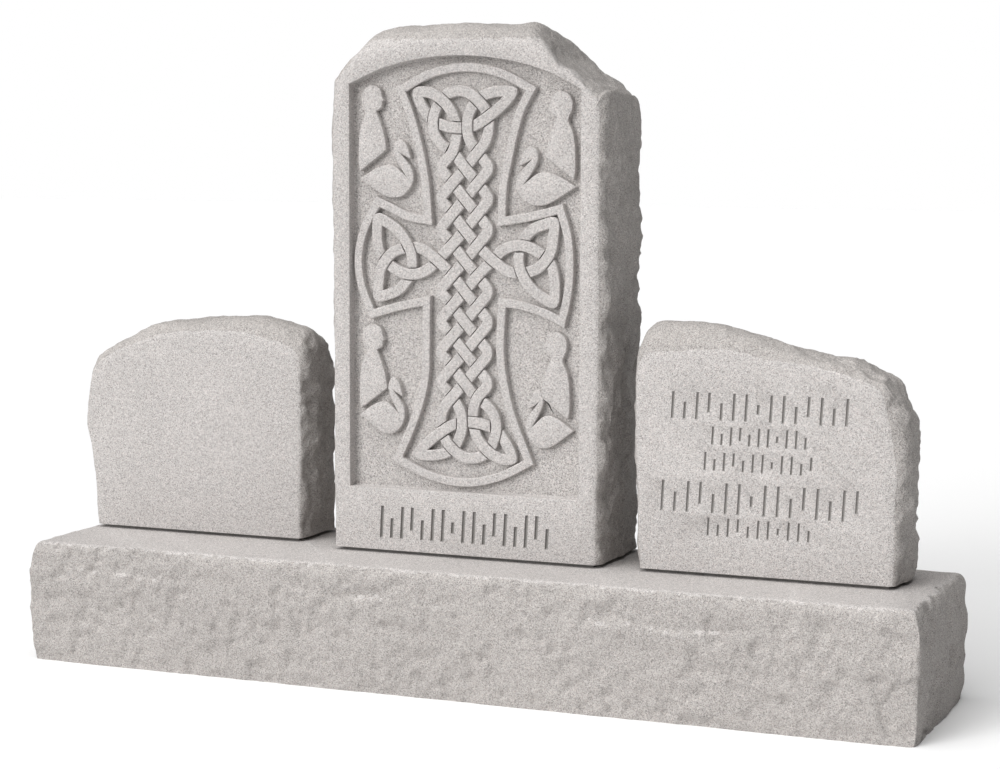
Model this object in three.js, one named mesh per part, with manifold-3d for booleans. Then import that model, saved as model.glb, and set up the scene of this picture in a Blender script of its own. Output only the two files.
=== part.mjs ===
// Celtic cross headstone: a rock-pitched base, a carved centre stone and two side tablets.
// Millimetres, +Z up, the front faces look along -Y, origin under the middle of the base.

import * as THREE from 'three';
import Module from 'manifold-3d';
import { mergeVertices } from 'three/addons/utils/BufferGeometryUtils.js';

const wasm = await Module();
wasm.setup();

// Base
const BASE_LENGTH = 1524;
const BASE_DEPTH = 355.6;
const BASE_HEIGHT = 203.2;
const BASE_STAND = 5; // how far the rough sides stand out past the nominal lines
const SETTING_GAP = 0.3; // bed between the base and each stone

// Centre stone
const CENTRE_WIDTH = 467;
const CENTRE_HEIGHT = 868;
const CENTRE_DEPTH = 193;
const CENTRE_X = -18.6;
const CENTRE_LEDGE = 139.5; // front of the base to the face of the stone

// Left tablet
const LEFT_WIDTH = 412;
const LEFT_HEIGHT = 381;
const LEFT_DEPTH = 130;
const LEFT_LEDGE = 179.3;
const LEFT_OUTSIDE = 0.143; // share of the free room on its side that lies outside the tablet

// Right tablet
const RIGHT_WIDTH = 420;
const RIGHT_HEIGHT = 396;
const RIGHT_DEPTH = 130;
const RIGHT_LEDGE = 148.7;
const RIGHT_OUTSIDE = 0.5114; // share of the free room on its side that lies outside the tablet

// Sunk panel in the centre stone
const BORDER = 31.8; // face left standing beside the panel
const NAME_BAND = 108.5; // face left standing below it
const CROWN = 54.5; // stone above the highest point of the panel
const PANEL_SHIFT = -2.4; // panel centre from the middle of the stone
const SINKING = 20; // depth of the panel floor
const RELIEF = 12; // height of the carving above that floor
const KEYED = 2; // how far carving runs on into the floor

// Cross
const STRAND = 18;
const STRAND_GAP = 2; // groove beside a strand that passes over
const BAND = 14;
const CORNER_REACH = 5; // how far a pointed corner runs past the meeting of its lines
const SMOOTH = 0.35; // largest step between an outline and its true curve

// Cut strokes
const STROKE_DEPTH = 2.5;
const NAME_STROKE = 4.6;
const LARGE_STROKE = 3.4;
const SMALL_STROKE = 2.6;
const STROKE_LEAN = 0.05; // share of its height
const NAME_REACH = [-0.315, 0.321]; // ends of the name row, as shares of the width of the stone

// The carving is drawn on a field of this size and stretched to the panel
const FIELD_WIDTH = 403.4;
const FIELD_BELOW = 378;
const FIELD_ABOVE = 327;

// Arched head of the panel, right to left
const ARCH = [
  [FIELD_WIDTH / 2, 272], [145, 300], [75, 319], [-6, FIELD_ABOVE], [-85, 321], [-150, 305],
  [-FIELD_WIDTH / 2, 283],
];

const panelWidth = CENTRE_WIDTH - 2 * BORDER;
const panelHeight = CENTRE_HEIGHT - NAME_BAND - CROWN;
const acrossScale = panelWidth / FIELD_WIDTH;
const upScale = panelHeight / (FIELD_BELOW + FIELD_ABOVE);
const seat = BASE_HEIGHT + SETTING_GAP;
const leftRoom = BASE_LENGTH / 2 + CENTRE_X - CENTRE_WIDTH / 2 - LEFT_WIDTH;
const rightRoom = BASE_LENGTH / 2 - CENTRE_X - CENTRE_WIDTH / 2 - RIGHT_WIDTH;
const leftX = (LEFT_WIDTH - BASE_LENGTH) / 2 + LEFT_OUTSIDE * leftRoom;
const rightX = (BASE_LENGTH - RIGHT_WIDTH) / 2 - RIGHT_OUTSIDE * rightRoom;

// Outlines of the upright stones from the left foot over the top to the right foot.
// Each station is across and up on the flat face, then across and up at the fullest
// line of the rough side, as shares of half the width and of the height.
const CENTRE_OUTLINE = [
  [-1, 0, -1.01, 0], [-1, 0.3, -1.025, 0.3], [-1.006, 0.62, -1.03, 0.64],
  [-1, 0.86, -1.04, 0.87], [-0.965, 0.896, -1, 0.915], [-0.86, 0.92, -0.885, 0.952],
  [-0.66, 0.94, -0.72, 0.99], [-0.36, 0.956, -0.4, 0.997], [0, 0.962, 0, 1],
  [0.34, 0.952, 0.24, 0.997], [0.59, 0.934, 0.45, 0.996], [0.77, 0.909, 0.62, 0.938],
  [0.9, 0.886, 0.8, 0.9], [0.975, 0.858, 0.95, 0.873], [1, 0.83, 1.02, 0.845],
  [1, 0.6, 1.035, 0.6], [1, 0.3, 1.03, 0.3], [1, 0, 1.01, 0],
];
const LEFT_OUTLINE = [
  [-0.943, 0, -0.96, 0], [-0.966, 0.21, -0.98, 0.21], [-1.005, 0.38, -1.03, 0.4],
  [-1.055, 0.49, -1.06, 0.5], [-1.015, 0.65, -1.03, 0.68], [-0.94, 0.74, -1, 0.79],
  [-0.796, 0.79, -0.9, 0.836], [-0.53, 0.86, -0.68, 0.89], [-0.29, 0.893, -0.42, 0.95],
  [0.02, 0.914, -0.03, 0.972], [0.43, 0.914, 0.38, 0.994], [0.69, 0.885, 0.6, 0.99],
  [0.93, 0.84, 0.86, 0.962], [1, 0.775, 1.01, 0.9], [1.01, 0.6, 1.045, 0.66],
  [1.01, 0.3, 1.035, 0.3], [1.01, 0, 1.02, 0],
];
const RIGHT_OUTLINE = [
  [-0.98, 0, -1, 0], [-0.995, 0.2, -1.03, 0.2], [-1.02, 0.46, -1.045, 0.48],
  [-1.03, 0.65, -1.045, 0.66], [-1.01, 0.79, -1.03, 0.9], [-0.92, 0.845, -0.94, 0.985],
  [-0.63, 0.86, -0.7, 1], [-0.32, 0.876, -0.4, 0.99], [0, 0.856, -0.05, 0.945],
  [0.32, 0.846, 0.25, 0.9], [0.66, 0.8, 0.56, 0.87], [0.84, 0.76, 0.8, 0.815],
  [0.885, 0.66, 0.965, 0.725], [0.93, 0.47, 1.045, 0.63], [0.945, 0.28, 1.05, 0.42],
  [0.955, 0.1, 1.02, 0.13], [0.96, 0, 0.985, 0],
];

const SIDE_STEPS = 3; // cuts of each stretch between two stations
const DEPTH_CUTS = [0, 0.05, 0.16, 0.32, 0.5, 0.7, 0.88, 1];
// Cuts of the base going up, and how far each is set back as a share of BASE_STAND
const BASE_CUTS = [0, 0.14, 0.36, 0.6, 0.86, 0.95, 1];
const BASE_SET_BACK = [1, 0.5, 0, 0, 0.7, 1.8, 4];
const BASE_STEP = 38;

// Rough stone: slow rolls along a side and across it
function rolls(along, across, seed) {
  const long = Math.sin(along / 61 + seed) * Math.sin(across / 47 + 2 * seed);
  const short = Math.sin(along / 23 + 3 * seed) * Math.cos(across / 29 + seed);
  return 2.6 * long + 1.6 * short;
}

// How far a rough side has swelled at a share of the way from face to back
function swell(share) {
  return Math.sin(Math.PI * share ** 0.75) ** 0.7;
}

function mix(from, to, share) {
  return from + (to - from) * share;
}

function outlinePoints(stations) {
  const points = [];
  stations.slice(1).forEach((next, i) => {
    const last = stations[i];
    for (let step = 0; step < SIDE_STEPS; step++) {
      points.push(last.map((value, k) => mix(value, next[k], step / SIDE_STEPS)));
    }
  });
  points.push(stations.at(-1));
  return points;
}

// An extrusion whose walls are reshaped ring by ring
function reshape(outline, cuts, depth, place) {
  const shape = new THREE.Shape(outline.map(([x, y]) => new THREE.Vector2(x, y)));
  const options = { depth: 1, steps: cuts.length - 1, bevelEnabled: false };
  const geometry = new THREE.ExtrudeGeometry(shape, options);
  const position = geometry.attributes.position;
  for (let i = 0; i < position.count; i++) {
    const station = outline.findIndex(([x, y]) => (
      Math.hypot(x - position.getX(i), y - position.getY(i)) < 0.01
    ));
    const cut = cuts[Math.round(position.getZ(i) * (cuts.length - 1))];
    position.setXYZ(i, ...place(station, cut, cut * depth));
  }
  return geometry;
}

// Upright stone with a flat face and back and rock-pitched sides, standing on its foot
function upright({ width, height, depth, x, ledge, stations, seed }) {
  const half = width / 2;
  const points = outlinePoints(stations);
  const outline = points.map(([across, up]) => [across * half, up * height]);
  let travelled = 0;
  const along = outline.map(([px, pz], i) => {
    if (i > 0) travelled += Math.hypot(px - outline[i - 1][0], pz - outline[i - 1][1]);
    return travelled;
  });
  const face = ledge - BASE_DEPTH / 2;
  const geometry = reshape(outline, DEPTH_CUTS, depth, (i, share, inward) => {
    const [across, up, fullAcross, fullUp] = points[i];
    const bulge = swell(share);
    const rough = bulge * rolls(along[i], inward, seed);
    const foot = Math.min(1, up / 0.06);
    const top = Math.min(1, Math.max(0, (up - 0.74) / 0.12));
    const side = Math.sign(across) * rough * (1 - top) * Math.max(foot, 0.3);
    return [
      x + mix(across, fullAcross, bulge) * half + side,
      face + inward,
      seat + mix(up, fullUp, bulge) * height + 0.6 * (rough - 2) * top,
    ];
  });
  return turnedOut(geometry);
}

// Base: flat top and underside, four rock-pitched sides dressed to length and depth
function pitchedBase() {
  const half = [BASE_LENGTH / 2, BASE_DEPTH / 2];
  const outline = [];
  const side = (fromX, fromY, toX, toY) => {
    const steps = Math.round(Math.hypot(toX - fromX, toY - fromY) / BASE_STEP);
    for (let i = 0; i < steps; i++) {
      outline.push([mix(fromX, toX, i / steps), mix(fromY, toY, i / steps)]);
    }
  };
  side(-half[0], -half[1], half[0], -half[1]);
  side(half[0], -half[1], half[0], half[1]);
  side(half[0], half[1], -half[0], half[1]);
  side(-half[0], half[1], -half[0], -half[1]);
  const geometry = reshape(outline, BASE_CUTS, BASE_HEIGHT, (i, share, up) => {
    const [px, py] = outline[i];
    const setBack = BASE_SET_BACK[BASE_CUTS.indexOf(share)] * BASE_STAND;
    const inset = setBack - rolls(px + 3 * py, up, 0.7) * Math.min(1, share + 0.3);
    const onEnd = Math.abs(Math.abs(px) - half[0]) < 1e-6;
    const onFront = Math.abs(Math.abs(py) - half[1]) < 1e-6;
    return [px - (onEnd ? Math.sign(px) * inset : 0), py - (onFront ? Math.sign(py) * inset : 0), up];
  });
  geometry.computeBoundingBox();
  const box = geometry.boundingBox;
  const middle = box.getCenter(new THREE.Vector3());
  const size = box.getSize(new THREE.Vector3());
  geometry.translate(-middle.x, -middle.y, 0);
  const [length, depth] = [BASE_LENGTH, BASE_DEPTH].map((nominal) => nominal + 2 * BASE_STAND);
  geometry.scale(length / size.x, depth / size.y, 1);
  return geometry;
}

// The outline was drawn in X and Z, so swapping the axes leaves the faces looking inwards
function turnedOut(geometry) {
  const position = geometry.attributes.position;
  for (let i = 0; i < position.count; i += 3) {
    const first = [position.getX(i), position.getY(i), position.getZ(i)];
    position.setXYZ(i, position.getX(i + 1), position.getY(i + 1), position.getZ(i + 1));
    position.setXYZ(i + 1, ...first);
  }
  return geometry;
}

// Solids for joining and cutting
function toSolid(geometry) {
  const bare = new THREE.BufferGeometry();
  bare.setAttribute('position', geometry.attributes.position);
  if (geometry.index) bare.setIndex(geometry.index);
  const merged = mergeVertices(bare, 1e-4);
  const mesh = new wasm.Mesh({
    numProp: 3,
    vertProperties: new Float32Array(merged.attributes.position.array),
    triVerts: new Uint32Array(merged.index.array),
  });
  return new wasm.Manifold(mesh);
}

function toGeometry(solid) {
  const { vertProperties, triVerts } = solid.getMesh();
  const geometry = new THREE.BufferGeometry();
  geometry.setAttribute('position', new THREE.BufferAttribute(vertProperties, 3));
  geometry.setIndex(new THREE.BufferAttribute(triVerts, 1));
  return geometry;
}

// A flat shape drawn as seen from the front, from y = front back to y = back
function slab(points, front, back, holes = []) {
  const shape = new THREE.Shape(points);
  shape.holes = holes.map((hole) => new THREE.Path(hole));
  const options = { depth: back - front, bevelEnabled: false };
  const geometry = new THREE.ExtrudeGeometry(shape, options);
  geometry.rotateX(Math.PI / 2);
  geometry.translate(0, back, 0);
  return toSolid(geometry);
}

// Lines on the panel
const vector = ([u, w]) => new THREE.Vector2(u, w);
const direction = (from, to) => to.clone().sub(from).normalize();
const leftOf = (run) => new THREE.Vector2(-run.y, run.x);

function through(points, perSpan = 6) {
  const curve = new THREE.SplineCurve(points.map(vector));
  return curve.getPoints((points.length - 1) * perSpan);
}

// Drops the points that an outline doesn't need
function thinned(points, step = SMOOTH) {
  if (points.length < 3) return points;
  const [first, last] = [points[0], points.at(-1)];
  const run = direction(first, last);
  let [worst, at] = [0, 0];
  points.forEach((point, i) => {
    const off = Math.abs(point.clone().sub(first).cross(run));
    if (off > worst) [worst, at] = [off, i];
  });
  if (worst <= step) return [first, last];
  return [...thinned(points.slice(0, at + 1), step).slice(0, -1), ...thinned(points.slice(at), step)];
}

// A line beside an open line
function beside(line, offset) {
  return line.map((point, i) => {
    const run = direction(line[Math.max(0, i - 1)], line[Math.min(line.length - 1, i + 1)]);
    return leftOf(run).multiplyScalar(offset).add(point);
  });
}

// Where two straight pieces cross, as shares along each
const TOUCH = 1e-6;
function crossing(a, b, c, d) {
  const r = b.clone().sub(a);
  const s = d.clone().sub(c);
  const area = r.cross(s);
  if (Math.abs(area) < 1e-9) return null;
  const reach = c.clone().sub(a);
  const along = reach.cross(s) / area;
  const other = reach.cross(r) / area;
  const inside = (share) => share > -TOUCH && share < 1 + TOUCH;
  return inside(along) && inside(other) ? { along, other } : null;
}

// The knot: a plait of four strands down the shaft, a loop in each arm and a knot at each end
const PITCH = 49.6;
const ACROSS = 22;
const EDGE = 44;
const EDGE_ROUND = 9.4;
const LEAD = 3; // straight run into and out of a turn
const PLAIT_MIDDLE = -0.7;
const ROWS = 8;
const ARM_ROW = 5;
const rowUp = (row) => PLAIT_MIDDLE + (row - (ROWS + 1) / 2) * PITCH;

// Runs of the end knots, up from the last crossings of the plait, and of the left arm.
// A point marked 'corner' is where two lines of the strand meet.
const TOP_LONG = [
  [-16, 19.1], [-15, 40.1], [-24, 65.1], [-42, 85.1], [-62, 95.6], [-87, 97.6, 'corner'],
  [-75, 73.1], [-55, 50.1], [-35, 42.1], [-15, 39.1], [5, 40.1], [23, 46.1], [42, 58.1],
  [64, 75.1], [86, 97.6, 'corner'], [50, 96.1], [33, 91.1], [20, 83.1], [11, 70.1],
  [5, 55.1], [4, 40.1], [7, 22.1],
];
const TOP_ROUND = [
  [-40, 11.1], [-54, 30.1], [-56, 51.1], [-50, 71.1], [-40, 87.1], [-24, 96.1], [-6, 98.1],
  [9, 93.1], [21, 84.1], [33, 71.1], [40, 57.1], [41, 35.1], [35, 16.1],
];
const LEFT_ARM = [
  [-48.5, -1], [-66, -17], [-85, -24.4], [-104, -24.5], [-122, -18], [-140, -6],
  [-150, 7], [-155, 24], [-156, 42], [-155.5, 68, 'corner'], [-138, 58.5], [-124, 50],
  [-111, 38], [-101.7, 24], [-95.7, 11], [-93.3, -4], [-96, -20], [-102.4, -34],
  [-112, -46.5], [-124, -54.5], [-138, -59.4], [-156.2, -65.6, 'corner'], [-152.5, -37],
  [-150, -20], [-142.5, -5.5], [-129, 9], [-113, 16], [-98.5, 18], [-84, 18.6],
  [-70, 14], [-59, 6.5], [-48.5, -1],
];
const topKnot = (points) => points.map(([u, w, kind]) => [u, rowUp(ROWS) + w, kind]);
const bottomKnot = (points) => points.map(([u, w, kind]) => [-u, rowUp(0) - w, kind]);

function arm(side) {
  return side < 0 ? LEFT_ARM : LEFT_ARM.map(([u, w, kind]) => [-u, -w, kind]).reverse();
}

// A run of the plait from the top crossings to the bottom ones
function plaitRun(side, slant) {
  const run = [];
  for (let row = ROWS; row > 0; row--) {
    run.push([side * ACROSS, rowUp(row)]);
    const middle = rowUp(row) - PITCH / 2;
    if (side === slant) {
      if (row === ARM_ROW) run.push(...arm(side));
      else run.push([side * EDGE, middle, 'turn']);
      slant = -slant;
    } else {
      run.push([0, middle]);
      side = -side;
    }
  }
  run.push([side * ACROSS, rowUp(0)]);
  return run;
}

// Rounds the turns at the edge of the plait
function withTurns(points) {
  return points.flatMap(([u, w, kind], i) => {
    if (kind !== 'turn') return [[u, w, kind]];
    const at = vector([u, w]);
    const back = direction(at, vector(points.at(i - 1)));
    const on = direction(at, vector(points[i + 1]));
    const half = back.angleTo(on) / 2;
    const reach = EDGE_ROUND / Math.tan(half);
    const away = (run, far) => run.clone().multiplyScalar(far).add(at);
    const centre = away(back.clone().add(on).normalize(), EDGE_ROUND / Math.sin(half));
    const start = away(back, reach);
    const end = away(on, reach);
    const sweep = (Math.PI - 2 * half) * Math.sign(back.cross(on)) * -1;
    const arc = [1, 2, 3, 4].map((k) => start.clone().rotateAround(centre, (sweep * k) / 5));
    return [away(back, reach + LEAD), start, ...arc, end, away(on, reach + LEAD)].map((p) => [p.x, p.y]);
  });
}

// A closed strand as fine points, each corner kept sharp and marked
function strandLine(points) {
  const laid = withTurns(points);
  const firstCorner = laid.findIndex((p) => p[2] === 'corner');
  const order = [...laid.slice(firstCorner), ...laid.slice(0, firstCorner), laid[firstCorner]];
  const line = [];
  let leg = [order[0]];
  order.slice(1).forEach((point) => {
    leg.push(point);
    if (point[2] !== 'corner') return;
    const curve = new THREE.CatmullRomCurve3(leg.map(([u, w]) => new THREE.Vector3(u, w, 0)), false);
    const fine = curve.getPoints((leg.length - 1) * 8).map((p) => new THREE.Vector2(p.x, p.y));
    fine[0].corner = true;
    line.push(...fine.slice(0, -1));
    leg = [point];
  });
  return line;
}

// Each place where strands cross, with the line and the place on it for both strands
function findCrossings(lines) {
  const found = [];
  const compare = (a, i, b, j) => {
    const [first, second] = [lines[a], lines[b]];
    if (first[i].distanceTo(second[j]) > STRAND) return;
    const next = first[(i + 1) % first.length];
    const hit = crossing(first[i], next, second[j], second[(j + 1) % second.length]);
    if (!hit) return;
    const at = first[i].clone().lerp(next, hit.along);
    if (found.some((spot) => spot.at.distanceTo(at) < 1)) return;
    found.push({ at, visits: [{ line: a, place: i + hit.along }, { line: b, place: j + hit.other }] });
  };
  lines.forEach((first, a) => first.forEach((_, i) => {
    for (let b = a; b < lines.length; b++) {
      const last = lines[b].length - (a === b && i < 3 ? 3 : 0);
      for (let j = a === b ? i + 3 : 0; j < last; j++) compare(a, i, b, j);
    }
  }));
  return found;
}

// Part of a closed line between two places on it
function stretch(line, from, to) {
  const count = line.length;
  const at = (place) => {
    const i = Math.floor(place);
    return line[i % count].clone().lerp(line[(i + 1) % count], place - i);
  };
  const end = to > from ? to : to + count;
  const points = [at(from)];
  for (let i = Math.floor(from) + 1; i < end; i++) {
    const point = line[i % count].clone();
    point.corner = line[i % count].corner;
    points.push(point);
  }
  points.push(at(end));
  return points;
}

// The edge of a strand at an offset, pointed where the strand turns a corner
function edgeLine(centre, offset, halfWidth) {
  const cornerAt = centre.findIndex((point) => point.corner);
  if (cornerAt < 0) return beside(centre, offset);
  const corner = centre[cornerAt];
  const incoming = centre.slice(0, cornerAt + 1);
  const outgoing = centre.slice(cornerAt);
  const back = direction(corner, incoming.at(-2));
  const on = direction(corner, outgoing[1]);
  const half = back.angleTo(on) / 2;
  const far = 4 * STRAND;
  incoming.push(back.clone().multiplyScalar(-far).add(corner));
  outgoing.unshift(on.clone().multiplyScalar(-far).add(corner));
  const before = beside(incoming, offset);
  const after = beside(outgoing, offset);
  const meet = meeting(before, after);
  const outward = Math.sign(back.cross(on)) * offset;
  const full = (2 * (halfWidth / Math.sin(half) - CORNER_REACH)) / Math.cos(half);
  const trim = full * (outward + halfWidth) / (2 * halfWidth);
  const head = shortened([...before.slice(0, meet.i + 1), meet.at], trim);
  const tail = shortened([...after.slice(meet.j + 1).reverse(), meet.at], trim).reverse();
  const bend = new THREE.QuadraticBezierCurve(head.at(-1), meet.at, tail[0]).getPoints(trim > 1 ? 6 : 1);
  return [...head, ...bend.slice(1, -1), ...tail];
}

function meeting(before, after) {
  for (let i = before.length - 2; i >= 0; i--) {
    for (let j = 0; j < after.length - 1; j++) {
      const hit = crossing(before[i], before[i + 1], after[j], after[j + 1]);
      if (hit) return { i, j, at: before[i].clone().lerp(before[i + 1], hit.along) };
    }
  }
  throw new Error('the two lines of a corner do not meet');
}

// The line less a length at its end
function shortened(line, length) {
  const points = [...line];
  let left = length;
  while (points.length > 2 && points.at(-1).distanceTo(points.at(-2)) <= left) {
    left -= points.at(-1).distanceTo(points.at(-2));
    points.pop();
  }
  const end = points.pop();
  const last = points.at(-1);
  points.push(end.clone().lerp(last, Math.min(0.98, left / end.distanceTo(last))));
  return points;
}

function distanceTo(point, line) {
  let nearest = Infinity;
  for (let i = 0; i < line.length - 1; i++) {
    const run = line[i + 1].clone().sub(line[i]);
    const share = THREE.MathUtils.clamp(point.clone().sub(line[i]).dot(run) / run.lengthSq(), 0, 1);
    nearest = Math.min(nearest, point.distanceTo(run.multiplyScalar(share).add(line[i])));
  }
  return nearest;
}

// Cuts the start of a line back until it is clear of the strand that passes over it
function clearOf(line, over, clearance) {
  const first = line.findIndex((point) => distanceTo(point, over) >= clearance);
  const inside = distanceTo(line[first - 1], over);
  const outside = distanceTo(line[first], over);
  const share = (clearance - inside) / (outside - inside);
  return [line[first - 1].clone().lerp(line[first], share), ...line.slice(first)];
}

// Outlines of the strand pieces: each passes over one crossing and stops at the next two
function strandPieces() {
  const lines = [
    [...topKnot(TOP_LONG), ...plaitRun(1, 1), ...bottomKnot(TOP_ROUND), ...plaitRun(-1, -1).reverse()],
    [...topKnot(TOP_ROUND), ...plaitRun(1, -1), ...bottomKnot(TOP_LONG), ...plaitRun(-1, 1).reverse()],
  ].map(strandLine);
  const crossings = findCrossings(lines);
  const halfWidth = STRAND / 2;
  return lines.flatMap((line, index) => {
    const visits = crossings.flatMap((spot) => spot.visits.map((visit, k) => ({
      spot, ...visit, other: spot.visits[1 - k],
    }))).filter((visit) => visit.line === index);
    visits.sort((a, b) => a.place - b.place);
    const firstOver = visits.findIndex(({ spot }) => spot.at.distanceTo(vector([-ACROSS, rowUp(ROWS)])) < 3);
    const parity = (firstOver + index) % 2;
    const unders = visits.filter((visit, i) => i % 2 !== parity);
    return unders.map((visit, i) => {
      const next = unders[(i + 1) % unders.length];
      const centre = stretch(line, visit.place, next.place);
      const sides = [halfWidth, -halfWidth].map((offset) => {
        const edge = edgeLine(centre, offset, halfWidth);
        const clearance = halfWidth + STRAND_GAP;
        const opened = clearOf(edge, around(lines, visit.other), clearance);
        return thinned(clearOf(opened.reverse(), around(lines, next.other), clearance).reverse());
      });
      return [...sides[1], ...sides[0].reverse()];
    });
  });
}

function around(lines, { line, place }) {
  const count = lines[line].length;
  const reach = 10;
  return stretch(lines[line], (place - reach + count) % count, (place + reach) % count);
}

// The band that frames the cross, side by side between its corners
const BAND_SIDES = [
  [[-113, 273], [-60, 299], [0, 308.5], [60, 299], [114, 273]],
  [[114, 273], [96, 240], [84, 200], [75, 160], [67, 120], [64, 63]],
  [[64, 63], [95, 68], [130, 75], [164, 84]],
  [[164, 84], [177, 42], [181, -4], [178, -50], [168, -95]],
  [[168, -95], [139, -82], [100, -71], [66, -67]],
  [[66, -67], [62.5, -142], [69, -196], [83, -250], [113, -323]],
  [[113, -323], [60, -350], [0, -362.5], [-62, -354], [-119, -330]],
  [[-119, -330], [-86, -255], [-70, -196], [-68, -142], [-67, -68]],
  [[-67, -68], [-116, -78], [-165, -92]],
  [[-165, -92], [-184, -47], [-190, 0], [-179, 48], [-154, 92]],
  [[-154, 92], [-130, 82], [-102, 69.5], [-64, 63]],
  [[-64, 63], [-69, 120], [-76, 160], [-86, 200], [-99, 240], [-113, 273]],
];

function closedOutline(sides, step = SMOOTH) {
  return sides.flatMap((side) => thinned(through(side), step).slice(0, -1));
}

function closedBeside(points, offset) {
  const count = points.length;
  return points.map((point, i) => {
    const run = direction(points[(i + count - 1) % count], point);
    const next = direction(point, points[(i + 1) % count]);
    const middle = leftOf(run).add(leftOf(next)).normalize();
    return middle.multiplyScalar(offset / middle.dot(leftOf(run))).add(point);
  });
}

// Robed figure looking across the panel, and the swan at its feet, as drawn at the upper left
const FIGURE = [
  [[-186, 141.5], [-189, 158], [-188, 196], [-184, 217], [-176, 236], [-180, 250], [-181, 263],
    [-175, 274], [-164, 278.5], [-154, 275], [-149.5, 268], [-148.5, 262], [-145, 256.5]],
  [[-145, 256.5], [-148.5, 254.5], [-148.3, 250.5], [-149.5, 246], [-153, 243], [-157, 239]],
  [[-157, 239], [-152, 228], [-146, 212], [-141, 194], [-138.6, 176.5]],
  [[-138.6, 176.5], [-186, 141.5]],
];
const SWAN = [
  [[-96, -1], [-84, 7], [-66, 17], [-48, 22], [-33, 19], [-14, 4]],
  [[-14, 4], [-26, 22], [-34, 37], [-36, 49], [-31, 60], [-22, 63], [-13, 55], [-8, 43], [-5, 32]],
  [[-5, 32], [-13, 35], [-24, 41]],
  [[-24, 41], [-12, 28], [-3, 16], [0, 0], [-6, -15], [-20, -28], [-38, -31], [-54, -27],
    [-76, -14], [-96, -1]],
];
const SWAN_LENGTH = 96;

// Places of the four groups: side of the cross, figure shift, swan breast, tail and height
const GROUPS = [
  { side: 1, figure: [0, 0], breast: -90, tail: -186, up: 130 },
  { side: -1, figure: [-1, -11], breast: -89, tail: -191, up: 120 },
  { side: 1, figure: [1, -390], breast: -105.5, tail: -187, up: -258 },
  { side: -1, figure: [6, -392], breast: -108, tail: -189, up: -268 },
];

function groupOutlines({ side, figure, breast, tail, up }) {
  const swanScale = (breast - tail) / SWAN_LENGTH;
  const robed = FIGURE.map((run) => run.map(([u, w]) => [side * (u + figure[0]), w + figure[1]]));
  const swan = SWAN.map((run) => run.map(([u, w]) => [side * (breast + u * swanScale), up + w]));
  return [robed, swan].map((sides) => closedOutline(sides));
}

// Rows of cut strokes, tall and short by turns
function strokeRow({ left, right, bottom, height, width, count }) {
  const pace = (right - left - width) / (count - 1);
  return Array.from({ length: count }, (_, i) => {
    const low = i % 4 === 3 ? 0.28 : 0;
    const high = i % 3 === 1 ? 0.62 : 1;
    const lean = STROKE_LEAN * (high - low) * height;
    const u = left + i * pace;
    return [
      [u, bottom + low * height],
      [u + width, bottom + low * height],
      [u + width + lean, bottom + high * height],
      [u + lean, bottom + high * height],
    ].map(vector);
  });
}

function cutStrokes(solid, rows, face) {
  const strokes = rows.flatMap(strokeRow).map((points) => slab(points, face - 1, face + STROKE_DEPTH));
  return strokes.reduce((stone, stroke) => stone.subtract(stroke), solid);
}

// Centre stone
function centreStone() {
  const face = CENTRE_LEDGE - BASE_DEPTH / 2;
  const floor = face + SINKING;
  const middle = CENTRE_X + PANEL_SHIFT;
  const sill = seat + NAME_BAND;
  const onStone = ({ x, y }) => new THREE.Vector2(
    middle + x * acrossScale,
    sill + (y + FIELD_BELOW) * upScale,
  );
  const foot = [[-FIELD_WIDTH / 2, -FIELD_BELOW], [FIELD_WIDTH / 2, -FIELD_BELOW]].map(vector);
  const opening = [...foot, ...thinned(through(ARCH))];
  const body = toSolid(upright({
    width: CENTRE_WIDTH,
    height: CENTRE_HEIGHT,
    depth: CENTRE_DEPTH,
    x: CENTRE_X,
    ledge: CENTRE_LEDGE,
    stations: CENTRE_OUTLINE,
    seed: 1.9,
  }));
  const sunk = body.subtract(slab(opening.map(onStone), face - SINKING, floor));
  const carve = (points, holes = []) => slab(
    points.map(onStone),
    floor - RELIEF,
    floor + KEYED,
    holes.map((hole) => hole.map(onStone)),
  );
  const bandLine = closedOutline(BAND_SIDES);
  const band = carve(closedBeside(bandLine, BAND / 2), [closedBeside(bandLine, -BAND / 2).reverse()]);
  const carving = [
    ...strandPieces().map((outline) => carve(outline)),
    ...GROUPS.flatMap(groupOutlines).map((outline) => carve(outline)),
  ].reduce((all, piece) => all.add(piece), band);
  const name = {
    left: middle + NAME_REACH[0] * CENTRE_WIDTH,
    right: middle + NAME_REACH[1] * CENTRE_WIDTH,
    bottom: seat + NAME_BAND * 0.24,
    height: NAME_BAND * 0.48,
    width: NAME_STROKE,
    count: 17,
  };
  return toGeometry(cutStrokes(sunk.add(carving), [name], face));
}

// Side tablets
function leftTablet() {
  return upright({
    width: LEFT_WIDTH,
    height: LEFT_HEIGHT,
    depth: LEFT_DEPTH,
    x: leftX,
    ledge: LEFT_LEDGE,
    stations: LEFT_OUTLINE,
    seed: 0.4,
  });
}

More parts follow.
